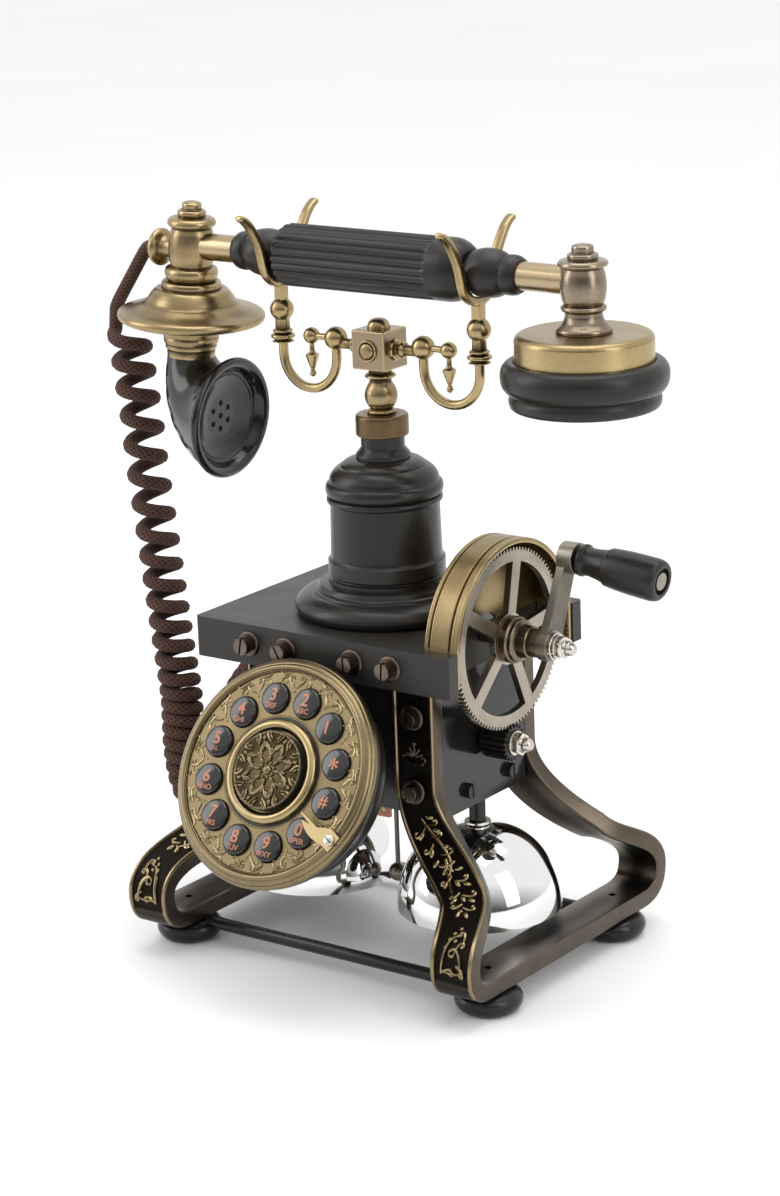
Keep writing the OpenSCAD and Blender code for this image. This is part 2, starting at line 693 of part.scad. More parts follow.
module mouthpiece_body() {
    color([0.05, 0.05, 0.05]) difference() {
        union() {
            at_mouth() turned([[0, 303.2], [2.6, 303.2], [4, 302.2], [4, 300], [5.9, 299.8], [5.9, 297],
                [9.2, 296.8], [10, 295.4], [10, 293.8], [8.2, 292.6], [8.2, 291.6], [9.4, 291.2],
                [9.4, 276.4], [10.6, 275.4], [11, 273], [10.6, 270.6], [12.4, 270.2], [12.4, 267.4],
                [15, 267], [17.2, 264.4], [19.8, 261], [24.4, 258.6], [29.4, 257.4], [30.7, 256], [30.7, 255],
                [29.6, 253.8], [14, 251.4], [12.2, 251], [12.2, 244], [10.4, 242], [horn_neck_r, 238.6],
                [0, 238.6]]);
            rod_x(-mouth_x - 9, -mouth_x - 3, 4, 0, 283);
            translate([-mouth_x - 20.6, 0, 283]) rotate([0, 90, 0]) turned([[0, 0], [4.4, 0], [5.2, 1.2],
                [7.4, 1.8], [7.7, 3.4], [7.7, 9], [6.6, 11], [4, 11.6], [0, 12]]);
        }
        rod_x(-mouth_x - 1, -mouth_x + 20, tube_r, 0, handset_z);
    }
}

// one round section of the horn, turned about the point where its planes meet; s runs from 0 to 1
function horn_ring(s, wall) = let(a = 90 * s, near0 = mouth_x + horn_face_x - horn_neck_r,
    near = near0 * (1 - s) + 0.2 * s + wall,
    far = near0 + 2 * horn_neck_r + (2 * horn_r - near0 - 2 * horn_neck_r) * pow(s, 1.5) - wall,
    r = (far - near) / 2, c = (far + near) / 2)
    [for (k = [0:23]) let(u = c - r * cos(15 * k)) [horn_face_x - u * cos(a), r * sin(15 * k),
        horn_neck_z + 1.4 - 1.4 * (1 - s) - u * sin(a)]];
module horn_solid(wall, s0, s1) {
    steps = 9;
    polyhedron([for (i = [0:steps]) each horn_ring(s0 + (s1 - s0) * i / steps, wall)],
        skin_faces(steps + 1, 24), convexity = 4);
}

module mouthpiece_horn() {
    color([0.04, 0.04, 0.04]) at_mouth_horn() difference() {
        horn_solid(0, 0, 1);
        horn_solid(2.2, 0.3, 1.02);
    }
}

// the horn hangs from the leaning neck, so it is brought under it
module at_mouth_horn() {
    at_mouth() translate([mouth_x, 0, 0]) children();
}

module mouthpiece_grille() {
    color([0.05, 0.05, 0.05]) at_mouth_horn() translate([horn_face_x, 0, horn_z]) rotate([0, 90, 0])
        difference() {
            turned([[0, -7], [9.5, -7], [20.4, -0.4], [20.4, 0], [horn_r, 0], [horn_r + 0.6, 1], [horn_r, 2.4],
                [horn_r - 1.6, 3], [horn_r - 3, 2.4], [horn_r - 3.4, 1.2], [9.2, -5.6], [0, -5.6]]);
            translate([0, 0, -8]) cylinder(h = 4, r = 1.6);
            for (k = [0:5]) rotate(60 * k) translate([5.5, 0, -8]) cylinder(h = 4, r = 1.6);
        }
}

module earpiece_body() {
    color([0.05, 0.05, 0.05]) difference() {
        translate([ear_x, 0, 0]) turned([[0, 299.2], [2.8, 299.2], [4.3, 298.2], [4.3, 296], [5.9, 295.8],
            [5.9, 293.6], [9, 293.4], [9.7, 292.2], [9.7, 291], [8.8, 290.2], [8.8, 276.4], [8.4, 276],
            [8.4, 273.6], [7.5, 273], [7.8, 270.6], [11, 267.4], [11, 265.4], [0, 265.4]]);
        rod_x(ear_x - 20, ear_x + 1, tube_r, 0, handset_z);
    }
}

module earpiece_can() {
    color([0.66, 0.56, 0.36]) translate([ear_x, 0, 0]) turned([[0, 265.4], [can_r - 2.4, 265.4],
        [can_r, 263.2], [can_r, 246.9], [can_r - 2, 246.9], [can_r - 2, 262.4], [0, 262.4]]);
}

module earpiece_cap() {
    color([0.04, 0.04, 0.04]) translate([ear_x, 0, 0]) turned([[can_r + fit, 246.6], [can_r + fit, 254.2],
        [28.6, 255], [31, 253.6], [32.4, 251], [ear_r, 248.6], [32, 245.4], [30.4, 242.8], [29, 241.8],
        [29, 237.4], [28, 236.2], [24, 236.2], [14, 240.6], [3, 242.4], [3, 245], [14, 244.4],
        [can_r - 2, 244.6], [can_r - 2, 246.6]]);
}

// ---- cord -------------------------------------------------------------------

module cord_gland() {
    color([0.3, 0.25, 0.2]) translate([-box_x, 8, 110]) rotate([0, -90, 0]) turned([[0, -3], [3.2, -3],
        [3.2, 0], [6, 0], [6, 2], [4.6, 3], [4, 6.5], [0, 6.5]]);
}

// rings of points round the cord's route, each as wide as the cord or its coil is there
module curly_cord() {
    p = concat(lead_pts, coil_pts, tail_pts);
    n = len(p);
    first = len(lead_pts);
    last = first + len(coil_pts) - 1;
    rings = [for (i = [0:n - 1]) let(t = tangent(p, i), w = unit(cross([0, 1, 0], t)), v = cross(t, w),
        r = i >= first && i <= last ? coil_od / 2 : cord_r)
        [for (k = [0:cord_sides - 1]) p[i] + r * (cos(360 / cord_sides * k) * v
            + sin(360 / cord_sides * k) * w)]];
    color([0.24, 0.13, 0.09]) polyhedron([for (r = rings) each r], skin_faces(n, cord_sides),
        convexity = 6);
}

top_plate();
generator_box();
slotted_screws();
side_frame_left();
side_frame_right();
bun_feet();
tie_bars();
column_shell();
column_collar();
gear_hood();
dial_bracket();
dial_housing();
dial_bezel();
dial_face();
dial_centre();
finger_stop();
keypad_board();
key_1();
key_2();
key_3();
key_4();
key_5();
key_6();
key_7();
key_8();
key_9();
key_0();
key_hash();
key_star();
bell_left();
bell_right();
bell_posts();
bell_washers();
ringer_yoke();
clapper();
field_magnets();
armature();
pinion();
pinion_nut();
main_gear();
crank_shaft();
crank_arm();
crank_nut();
crank_grip();
hook_switch();
hook_spring();
cradle_block();
cradle_arms();
cradle_forks();
handset_grip();
handset_tube();
handset_ends();
mouthpiece_body();
mouthpiece_horn();
mouthpiece_grille();
earpiece_body();
earpiece_can();
earpiece_cap();
cord_gland();
curly_cord();
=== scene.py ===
# %% [markdown]
# # A desk crank telephone
# The telephone stands on two cast side frames. They carry a generator box, a heavy top plate,
# a turned column and a cradle for the handset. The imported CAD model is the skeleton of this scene:
# it says where each body is and how it moves. Here each of its plain solids gets its real finish,
# or makes room for a finer piece that rides on the same body.

# %% Load the skeleton
import json
import math
import bpy
import bmesh
from mathutils import Matrix, Vector


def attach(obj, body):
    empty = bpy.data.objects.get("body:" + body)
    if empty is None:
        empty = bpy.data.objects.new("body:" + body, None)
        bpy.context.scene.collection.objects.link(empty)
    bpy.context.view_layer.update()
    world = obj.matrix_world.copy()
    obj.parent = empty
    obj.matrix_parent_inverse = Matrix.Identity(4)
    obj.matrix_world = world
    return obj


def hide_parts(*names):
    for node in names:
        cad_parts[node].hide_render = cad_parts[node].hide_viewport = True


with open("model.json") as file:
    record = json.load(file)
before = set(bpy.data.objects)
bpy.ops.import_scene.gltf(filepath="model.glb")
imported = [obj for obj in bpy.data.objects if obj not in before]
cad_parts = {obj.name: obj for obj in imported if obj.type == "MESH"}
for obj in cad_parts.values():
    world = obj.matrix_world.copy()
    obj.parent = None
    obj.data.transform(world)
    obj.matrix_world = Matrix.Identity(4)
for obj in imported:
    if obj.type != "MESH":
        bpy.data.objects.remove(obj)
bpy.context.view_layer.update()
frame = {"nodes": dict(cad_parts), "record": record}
record = frame["record"]
body_of = {node: body for body, nodes in record["behaviour"]["bodies"].items() for node in nodes}

# %% [markdown]
# ## The camera
# A product shot of a tall object uses a long lens from a few paces away, so that upright edges
# stay upright. The camera looks from the front right and a little from above, and it is turned
# slightly about its own axis, as a hand-held one is.

# %% Set the camera
turn, rise, roll = (math.radians(angle) for angle in (36.42, 15.92, -2.08))
back = Vector((math.sin(turn) * math.cos(rise), -math.cos(turn) * math.cos(rise), math.sin(rise)))
right = Vector((math.cos(turn), math.sin(turn), 0))
up = back.cross(right)
lens = bpy.data.cameras.new("Studio camera")
lens.lens, lens.sensor_width, lens.sensor_fit = 151.355, 36, "HORIZONTAL"
lens.clip_start, lens.clip_end = 0.05, 20
camera = bpy.data.objects.new("Studio camera", lens)
bpy.context.collection.objects.link(camera)
turned_axes = Matrix((math.cos(roll) * right + math.sin(roll) * up,
                      math.cos(roll) * up - math.sin(roll) * right, back)).transposed()
aim, camera_distance = Vector((0.00075, 0, 0.14673)), 1.3348
camera.matrix_world = Matrix.Translation(aim + camera_distance * back) @ turned_axes.to_4x4()
bpy.context.scene.camera = camera
print("camera at", [round(c, 3) for c in camera.location])

# %% [markdown]
# ## Tools for bars, wires and cords
# Much of this telephone is a section carried along a line: the curly cord, the bent hooks, the
# forks, the cast frames and the raised vines on them. One helper does them all. It draws the
# section once and extrudes its outline from station to station, as a swept surface does in CAD.
# Everything is modelled in millimetres and shrunk to metres when it is put in place.

# %% Carry a section along a line
def smooth_line(points, steps):
    """A line through the points with no corners, with so many steps from each to the next."""
    dots = [Vector(p) for p in points]
    dots = [2 * dots[0] - dots[1], *dots, 2 * dots[-1] - dots[-2]]
    line = []
    for a, b, c, d in zip(dots, dots[1:], dots[2:], dots[3:]):
        for k in range(steps):
            t = k / steps
            line.append(0.5 * (2 * b + (c - a) * t + (2 * a - 5 * b + 4 * c - d) * t * t
                               + (3 * b - a - 3 * c + d) * t ** 3))
    return line + [dots[-2]]


def station(point, along, across, width, depth):
    """Where a section stands: its Z looks along the line and its X as nearly across as it can."""
    z = Vector(along).normalized()
    x = (Vector(across) - Vector(across).dot(z) * z).normalized()
    place = Matrix((x, z.cross(x), z)).transposed().to_4x4()
    place.translation = point
    return place @ Matrix.Diagonal((width, depth, 1, 1))


def lofted(places, sides=10, section=None, paint=None, unwrap=False):
    """A bar whose outline stands at each place in turn. section is one outline, or one for each
    place, and paint is a finish number for each of its sides."""
    bar = bmesh.new()
    if section:
        outlines = section if isinstance(section[0], list) else [section] * len(places)
        ring = [bar.verts.new(places[0] @ Vector((x, y, 0))) for x, y in outlines[0]]
        for a, b in zip(ring, ring[1:] + ring[:1]):
            bar.edges.new((a, b))
    else:
        ring = bmesh.ops.create_circle(bar, segments=sides, radius=1, matrix=places[0])["verts"]
    rings = [ring]
    for i in range(1, len(places)):
        outline = [bar.edges.get((ring[k - 1], ring[k])) for k in range(len(ring))]
        made = bmesh.ops.extrude_edge_only(bar, edges=outline)["geom"]
        fresh = {v for v in made if isinstance(v, bmesh.types.BMVert)}
        ring = [next(e.other_vert(v) for e in v.link_edges if e.other_vert(v) in fresh) for v in ring]
        if section:
            for vertex, (x, y) in zip(ring, outlines[i]):
                vertex.co = places[i] @ Vector((x, y, 0))
        else:
            bmesh.ops.transform(bar, matrix=places[i] @ places[i - 1].inverted(), verts=ring)
        for k, finish in enumerate(paint or []):
            bar.edges.get((ring[k], ring[(k + 1) % len(ring)])).link_faces[0].material_index = finish
        rings.append(ring)
    if unwrap:
        map_round_and_along(bar, rings, [place.translation for place in places])
    for ring in (rings[0], rings[-1]):
        bmesh.ops.contextual_create(bar, geom=[bar.edges.get((ring[k - 1], ring[k]))
                                               for k in range(len(ring))])
    bmesh.ops.recalc_face_normals(bar, faces=bar.faces)
    return bar


def carried(line, sizes, sides=10, section=None, across=None, unwrap=False):
    """A bar along the line. sizes is a radius, or a (width, depth) scale, for all or for each point."""
    line = [Vector(p) for p in line]
    last = len(line) - 1
    sizes = sizes if isinstance(sizes, list) else [sizes] * (last + 1)
    sizes = [s if isinstance(s, tuple) else (s, s) for s in sizes]
    side = Vector(across) if across else (line[1] - line[0]).orthogonal()
    places = []
    for i, point in enumerate(line):
        places.append(station(point, line[min(i + 1, last)] - line[max(i - 1, 0)], side, *sizes[i]))
        if not across:
            side = places[-1].col[0].to_3d()
    return lofted(places, sides, section, unwrap=unwrap)


def map_round_and_along(bar, rings, line):
    """A UV map for a pattern that follows the bar: u goes once round it and v counts its widths."""
    radius = (rings[0][0].co - line[0]).length
    along = [0]
    for a, b in zip(line, line[1:]):
        along.append(along[-1] + (b - a).length / (2 * math.pi * radius))
    count = len(rings[0])
    spot = {v: (k, along[i]) for i, ring in enumerate(rings) for k, v in enumerate(ring)}
    layer = bar.loops.layers.uv.new("Round and along")
    for face in bar.faces:
        seam = any(spot[v][0] == count - 1 for v in face.verts)
        for loop in face.loops:
            k, v = spot[loop.vert]
            loop[layer].uv = ((count if seam and k == 0 else k) / count, v)


print("a bar along", len(smooth_line([(0, 0, 0), (1, 0, 0), (2, 1, 0)], 4)), "points is ready")

# %% [markdown]
# ## Tools for finishes
# Every finish is a small network of nodes that ends in one Principled shader. Patterns are read in
# Object coordinates, which are metres on the telephone itself, so the scale of a speck or a scratch
# is a real size. A value that is the same all over goes straight on the shader's socket.

# %% Build node networks
def put(tree, kind, sockets=None, **settings):
    """Adds a node, sets it, and fills its sockets with values or with other nodes' outputs."""
    node = tree.nodes.new("ShaderNode" + kind)
    for name, value in settings.items():
        setattr(node, name, value)
    for name, value in (sockets or {}).items():
        if isinstance(value, bpy.types.NodeSocket):
            tree.links.new(value, node.inputs[name])
        else:
            node.inputs[name].default_value = value
    return node


def new_finish(name, **sockets):
    """A material whose shader has these sockets set, and its tree and shader."""
    finish = bpy.data.materials.new(name)
    finish.use_nodes = True
    shader = finish.node_tree.nodes["Principled BSDF"]
    for socket, value in sockets.items():
        shader.inputs[socket.replace("_", " ")].default_value = value
    return finish, finish.node_tree, shader


def ramp(tree, amount, *stops):
    """Turns an amount into colours, or into greys, through stops of (place, colour)."""
    node = put(tree, "ValToRGB", {"Fac": amount})
    band = node.color_ramp.elements
    while len(band) < len(stops):
        band.new(0.5)
    for element, (place, colour) in zip(band, stops):
        element.position = place
        element.color = (*colour, 1) if isinstance(colour, tuple) else (colour, colour, colour, 1)
    return node.outputs["Color"]


def cloud(tree, where, scale, detail=5, rough=0.6, warp=0.0):
    """Noise with features of about one metre over scale."""
    return put(tree, "TexNoise", {"Vector": where, "Scale": scale, "Detail": detail,
                                  "Roughness": rough, "Distortion": warp}).outputs["Fac"]


def sums(tree, operation, a, b, c=0.0, clamp=False):
    """One step of arithmetic on sockets or numbers."""
    return put(tree, "Math", {0: a, 1: b, 2: c}, operation=operation, use_clamp=clamp).outputs[0]


def raise_by(tree, shader, height, distance, strength=1.0):
    """Lets a height pattern stand up from the surface by so many metres."""
    bump = put(tree, "Bump", {"Height": height, "Distance": distance, "Strength": strength})
    tree.links.new(bump.outputs["Normal"], shader.inputs["Normal"])


print("node tools are ready")

# %% [markdown]
# ## The curly cord
# A handset cord is a braided lead wound on a mandrel and set, so that it springs back into its
# curls. It could be a curve with a coil modifier, but a tube laid along a line gives every turn its
# own place. The line is a route with a helix wound about it. The curls are a little further apart
# where their own weight pulls them open, and lie tight in the low loop. All of the cord rides on
# the base, so its upper end does not yet follow the handset when that is lifted.

# %% Wind the cord's line
knob_end = [(-113.6, 0, 283), (-117.2, 0, 282.4), (-120.4, 0, 279.4), (-127.6, 0, 269.4), (-134.6, 0, 259.6),
            (-137.8, 0, 254)]
hanging = [(-131.2, 0, 247), (-128.4, 0, 224), (-126.4, 0, 208), (-125, 0, 190), (-122, 0, 164),
           (-119, 0, 138),
           (-116, 0, 112), (-113, 0, 88), (-112, -1, 64), (-111, 2, 46), (-109, 10, 36), (-105, 19, 43),
           (-101, 19, 62),
           (-94, 17, 82), (-79, 13, 99), (-64, 9, 107)]
gland_end = [(-58, 8, 109.8), (-52, 8, 110)]
cord_thickness = 5.8
coil_radius = 6.5
spacings = [(0, 24), (5, 12), (9, 9.7), (20, 11.5), (45, 12.9), (70, 12.6), (92, 11.0), (112, 9.6),
            (130, 8.6), (146, 7.8),
            (158, 6.1), (170, 5.5), (400, 5.5)]


def spacing(travel):
    for (a, low), (b, high) in zip(spacings, spacings[1:]):
        if travel <= b:
            return low + (high - low) * (travel - a) / (b - a)
    return spacings[-1][1]


def wound_line(points, per_turn=18):
    """Follows the points with a helix. It is steeper at its ends, and narrower at the last one."""
    core = smooth_line(points, 60)
    length = sum((b - a).length for a, b in zip(core, core[1:]))
    side = Vector((-1, 0, 0))
    line, travel, phase, turns = [], 0.0, 0.0, 0
    for a, b in zip(core, core[1:]):
        step, along = (b - a).length, (b - a).normalized()
        side = (side - side.dot(along) * along).normalized()
        pitch = spacing(travel) + 16 * max(0, 1 - (length - travel) / 14)
        count = max(1, math.ceil(step / pitch * per_turn))
        for k in range(count):
            here = travel + step * k / count
            angle = phase + 2 * math.pi * step * k / count / pitch
            ease = min(1, (length - here) / 14)
            radius = coil_radius * (0.4 + 0.6 * ease * ease * (3 - 2 * ease))
            line.append(a.lerp(b, k / count) + radius * (math.cos(angle) * side
                        - math.sin(angle) * along.cross(side)))
        travel, phase = travel + step, phase + 2 * math.pi * step / pitch
    return line, phase / (2 * math.pi)


curls, turns = wound_line(hanging)
cord_line = smooth_line(knob_end, 4)[:-1] + curls[1:] + smooth_line([curls[-1], *gland_end], 4)[1:]
cord_line.reverse()

# %% [markdown]
# The cover is a cotton braid in dark brown. Its herringbone comes from two families of slanting
# strands that pass over and under each other, so the pattern follows the cord on its own UV map.

# %% Braid the cord's cover
def braided_cover():
    finish, tree, shader = new_finish("Brown cotton braid", Roughness=0.85, Sheen_Weight=0.03,
                                      Sheen_Roughness=0.5)
    spot = put(tree, "UVMap", uv_map="Round and along").outputs["UV"]
    parts = put(tree, "SeparateXYZ", {0: spot})
    u = sums(tree, "MULTIPLY", parts.outputs[0], 8 * 2 * math.pi)
    v = sums(tree, "MULTIPLY", parts.outputs[1], 9 * 2 * math.pi)
    left = sums(tree, "SINE", sums(tree, "ADD", u, v), 0)
    right = sums(tree, "SINE", sums(tree, "SUBTRACT", u, v), 0)
    weave = sums(tree, "MAXIMUM", left, right)
    fibre = cloud(tree, put(tree, "TexCoord").outputs["Object"], 2600, 3)
    tone = sums(tree, "MULTIPLY_ADD", weave, 0.3, sums(tree, "MULTIPLY_ADD", fibre, 0.5, 0.15))
    colour = ramp(tree, tone, (0.12, (0.012, 0.0034, 0.0016)), (0.55, (0.060, 0.0205, 0.0098)),
                  (0.85, (0.150, 0.062, 0.034)))
    tree.links.new(colour, shader.inputs["Base Color"])
    raise_by(tree, shader, sums(tree, "ADD", weave, fibre), 0.0003, 1.0)
    return finish


brown_braid = braided_cover()
print(brown_braid.name)

# %% [markdown]
# ## Putting a piece in place
# A finished piece is one mesh at the origin, in metres. Before it is handed over, each point learns
# how exposed it is: the sharper the ridge it lies on, the more hands and cloths have rubbed it, and
# the deeper the groove, the more dirt it has kept. The finishes read that as "wear".

# %% Hand a piece over
def note_wear(shape):
    """Keeps, on every vertex, how far it is a ridge (up to 1) or a groove (down to -1)."""
    layer = shape.verts.layers.float.new("wear")
    for vertex in shape.verts:
        bends = [e.calc_face_angle_signed(0) for e in vertex.link_edges if len(e.link_faces) == 2]
        vertex[layer] = max(-1, min(1, (max(bends, default=0) + min(bends, default=0)) / 0.5))


def put_in_place(name, node, shape, *finishes, smooth=38, hide=True, even=True):
    """Makes the shape, modelled in mm, a piece that rides on its node's body and may replace it."""
    note_wear(shape)
    bmesh.ops.scale(shape, vec=(0.001, 0.001, 0.001), verts=shape.verts)
    name = name.replace(" ", "_")
    mesh = bpy.data.meshes.new(name)
    shape.to_mesh(mesh)
    shape.free()
    for finish in finishes:
        mesh.materials.append(finish)
    mesh.polygons.foreach_set("use_smooth", [True] * len(mesh.polygons))
    mesh.set_sharp_from_angle(angle=math.radians(smooth))
    piece = bpy.data.objects.new(name, mesh)
    bpy.context.collection.objects.link(piece)
    if even:
        piece.modifiers.new("Even shading", "WEIGHTED_NORMAL").keep_sharp = True
    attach(piece, body_of[node])
    if hide:
        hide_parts(node)
    print(f"{name}: {len(mesh.polygons)} faces on {body_of[node]}")
    return piece


# %% Hang the cord
cord = put_in_place("Curly cord", "curly_cord", carried(cord_line, cord_thickness / 2, 10, unwrap=True),
                    brown_braid, smooth=80, even=False)

# %% [markdown]
# ## Metal finishes
# The bright parts are brass with an antique finish: the casting is darkened with a sulphide bath,
# then the ridges are polished back and lacquered. So the tone follows wear first, soft clouds
# second and fine specks last. Parts that came off a lathe also have faint rings about their axis.

# %% Mix the metals
def metal(name, bright, dark, rough, wear=0.45, base=0.5, spread=0.7, patch=70, grain=0.00003, rings=None):
    """rings is (centre, mask): a point on the lathe axis and the vector that drops that axis."""
    finish, tree, shader = new_finish(name, Metallic=1.0)
    where = put(tree, "TexCoord").outputs["Object"]
    soft = cloud(tree, where, patch, 6, 0.62, 0.4)
    speck = cloud(tree, where, 1400, 3)
    worn = put(tree, "Attribute", attribute_name="wear").outputs["Fac"]
    tone = sums(tree, "MULTIPLY_ADD", worn, wear, base)
    tone = sums(tree, "ADD", tone, sums(tree, "MULTIPLY_ADD", soft, spread, -spread / 2))
    tone = sums(tree, "ADD", tone, sums(tree, "MULTIPLY_ADD", speck, 0.24, -0.12), clamp=True)
    middle = tuple((a * 0.55 + b * 0.45) for a, b in zip(bright, dark))
    tree.links.new(ramp(tree, tone, (0.05, dark), (0.5, middle), (0.95, bright)), shader.inputs["Base Color"])
    shine = put(tree, "MapRange", {"Value": sums(tree, "ADD", tone, speck), "From Min": 0.4, "From Max": 1.5,
                                   "To Min": rough[1], "To Max": rough[0]}).outputs[0]
    tree.links.new(shine, shader.inputs["Roughness"])
    height = cloud(tree, where, 900, 4)
    if rings:
        centre, mask = rings
        away = put(tree, "VectorMath", {0: where, 1: centre}, operation="SUBTRACT").outputs[0]
        flat = put(tree, "VectorMath", {0: away, 1: mask}, operation="MULTIPLY").outputs[0]
        radius = put(tree, "VectorMath", {0: flat}, operation="LENGTH").outputs["Value"]
        level = put(tree, "VectorMath", {0: away, 1: [1 - m for m in mask]}, operation="DOT_PRODUCT")
        line = put(tree, "CombineXYZ", {0: radius, 1: level.outputs["Value"]}).outputs[0]
        height = sums(tree, "MULTIPLY_ADD", cloud(tree, line, 5200, 2), 0.8,
                      sums(tree, "MULTIPLY", height, 0.3))
    raise_by(tree, shader, height, grain, 0.6)
    return finish


upright = (1.0, 1.0, 0.0)
sideways = (0.0, 1.0, 1.0)
satin_brass = metal("Satin brass", (0.44, 0.34, 0.17), (0.13, 0.09, 0.04), (0.24, 0.42), spread=0.4,
                    rings=((0.097, 0, 0), upright))
hood_brass = metal("Hood brass", (0.38, 0.29, 0.15), (0.085, 0.055, 0.025), (0.26, 0.44), spread=0.55,
                   rings=((0, 0, 0.138), sideways))
dial_brass = metal("Dial brass", (0.22, 0.17, 0.092), (0.04, 0.028, 0.014), (0.30, 0.46), wear=0.6,
                   spread=0.5)
relief_gold = metal("Relief gold", (0.44, 0.34, 0.175), (0.07, 0.047, 0.023), (0.26, 0.42), wear=0.5,
                    base=0.62)
aged_bronze = metal("Aged bronze", (0.40, 0.305, 0.16), (0.055, 0.037, 0.019), (0.22, 0.42), wear=0.5,
                    spread=0.8)
tube_brass = metal("Tube brass", (0.40, 0.315, 0.195), (0.14, 0.10, 0.06), (0.26, 0.42), spread=0.5,
                   rings=((0, 0, 0.2848), sideways))
frame_bronze = metal("Frame bronze", (0.125, 0.102, 0.078), (0.016, 0.0135, 0.0115), (0.28, 0.45), wear=0.75,
                     base=0.22, spread=0.5, grain=0.00006)
panel_black = metal("Frame panel", (0.055, 0.044, 0.031), (0.013, 0.0105, 0.008), (0.34, 0.52), wear=0.5,
                    base=0.2, grain=0.0001)
gear_steel = metal("Gear steel", (0.42, 0.375, 0.31), (0.15, 0.128, 0.10), (0.26, 0.42), spread=0.6,
                   rings=((0, 0, 0.138), sideways))
arm_steel = metal("Arm steel", (0.33, 0.30, 0.25), (0.08, 0.068, 0.055), (0.3, 0.48), spread=0.7)
shaft_bronze = metal("Shaft bronze", (0.27, 0.21, 0.145), (0.05, 0.036, 0.025), (0.26, 0.42), spread=0.6,
                     rings=((0, 0, 0.138), sideways))
screw_bronze = metal("Screw bronze", (0.149, 0.117, 0.095), (0.0303, 0.0213, 0.0161), (0.28, 0.45),
                     spread=0.6)
edge_gold = metal("Edge gold", (0.28, 0.215, 0.12), (0.05, 0.035, 0.019), (0.26, 0.42), wear=0.5, base=0.6)
collar_bronze = metal("Collar bronze", (0.17, 0.115, 0.06), (0.05, 0.032, 0.018), (0.3, 0.46), spread=0.9)
bezel_bronze = metal("Bezel bronze", (0.30, 0.235, 0.13), (0.055, 0.038, 0.02), (0.24, 0.40), wear=0.5,
                     spread=0.5)
ear_bronze = metal("Ear bronze", (0.34, 0.275, 0.20), (0.075, 0.056, 0.04), (0.2, 0.36), wear=0.45,
                   spread=0.7)
bright_nickel = metal("Bright nickel", (0.68, 0.636, 0.576), (0.294, 0.259, 0.225), (0.12, 0.28), spread=0.4)
bell_chrome = metal("Bell chrome", (0.84, 0.84, 0.84), (0.66, 0.66, 0.66), (0.03, 0.09), spread=0.3,
                    grain=0.000004)
copper_wire = metal("Copper winding", (0.384, 0.189, 0.106), (0.11, 0.0392, 0.0186), (0.3, 0.5),
                    rings=((0, 0, 0), sideways), grain=0.0002)
print("metals:", len([m for m in bpy.data.materials if m.node_tree]) - 1)

# %% [markdown]
# ## Dark finishes
# The column, the box and the plate are enamelled, and the handset is a phenolic moulding. Both are
# dielectrics: their gloss is white. Enamel has a faint orange-peel swell, and a moulding has
# hairlines and a softer, slightly cloudy shine where it is handled.

# %% Mix the dark finishes
def enamel(name, colour, rough, swell=260, swell_height=0.00004, coat=0.0, dust=0.007):
    finish, tree, shader = new_finish(name, Coat_Weight=coat, Coat_Roughness=0.08, Specular_IOR_Level=0.34)
    where = put(tree, "TexCoord").outputs["Object"]
    soft = cloud(tree, where, 35, 4, 0.6, 0.5)
    speck = cloud(tree, where, 1900, 2)
    worn = put(tree, "Attribute", attribute_name="wear").outputs["Fac"]
    tone = sums(tree, "MULTIPLY_ADD", worn, 0.3, sums(tree, "MULTIPLY_ADD", speck, 0.3, soft), clamp=True)
    pale = tuple(c + dust for c in colour)
    tree.links.new(ramp(tree, tone, (0.35, colour), (1.0, pale)), shader.inputs["Base Color"])
    shine = put(tree, "MapRange", {"Value": sums(tree, "MULTIPLY_ADD", speck, 0.5, soft), "From Min": 0.5,
                                   "From Max": 1.0, "To Min": rough[0], "To Max": rough[1]}).outputs[0]
    tree.links.new(shine, shader.inputs["Roughness"])
    raise_by(tree, shader, cloud(tree, where, swell, 2), swell_height, 0.5)
    return finish


column_enamel = enamel("Column enamel", (0.0105, 0.0085, 0.0064), (0.24, 0.36))
plate_enamel = enamel("Plate enamel", (0.0125, 0.0103, 0.0080), (0.34, 0.46), dust=0.012)
box_enamel = enamel("Box enamel", (0.0065, 0.005, 0.0048), (0.12, 0.2), coat=0.15)
moulding = enamel("Black moulding", (0.0096, 0.0079, 0.0063), (0.28, 0.40), swell=700, swell_height=0.00002)
glossy_moulding = enamel("Polished moulding", (0.00632, 0.00563, 0.00475), (0.14, 0.24), swell=500,
                         swell_height=0.000015, coat=0.3)
key_moulding = enamel("Button moulding", (0.00583, 0.0054, 0.00515), (0.10, 0.18), coat=0.5, swell=600,
                      swell_height=0.00001, dust=0.006)
rubber = enamel("Foot rubber", (0.0068, 0.00607, 0.00554), (0.2, 0.32))
# The hole finish is matte near-black: painted shade for the mouthpiece's holes, which are flat discs.
painted_hole_shade = enamel("Hole shade", (0.0006, 0.0006, 0.0006), (0.85, 0.95), dust=0.0004)
magnet_paint = enamel("Magnet paint", (0.16, 0.016, 0.012), (0.35, 0.5), dust=0.03)
board_resin = enamel("Board resin", (0.012, 0.085, 0.03), (0.3, 0.42), swell=900, dust=0.02)
label_ink = enamel("Copper ink", (0.40, 0.13, 0.05), (0.35, 0.5), swell=1500, dust=0.08)
print("dark finishes are mixed")

# %% [markdown]
# ## Tools for turned and cast shapes
# A lathe part is its half section spun about its axis. A cast or sawn part starts from the CAD
# node's own mesh: its loose triangles are welded, its flat faces are joined up again, and its
# edges are broken with a small round, because no real edge is perfectly sharp.

# %% Turn, copy and round
def soft(*points, steps=5):
    """Part of a half section that runs smoothly through its points."""
    return [(p.x, p.y) for p in smooth_line([(r, h, 0) for r, h in points], steps)]


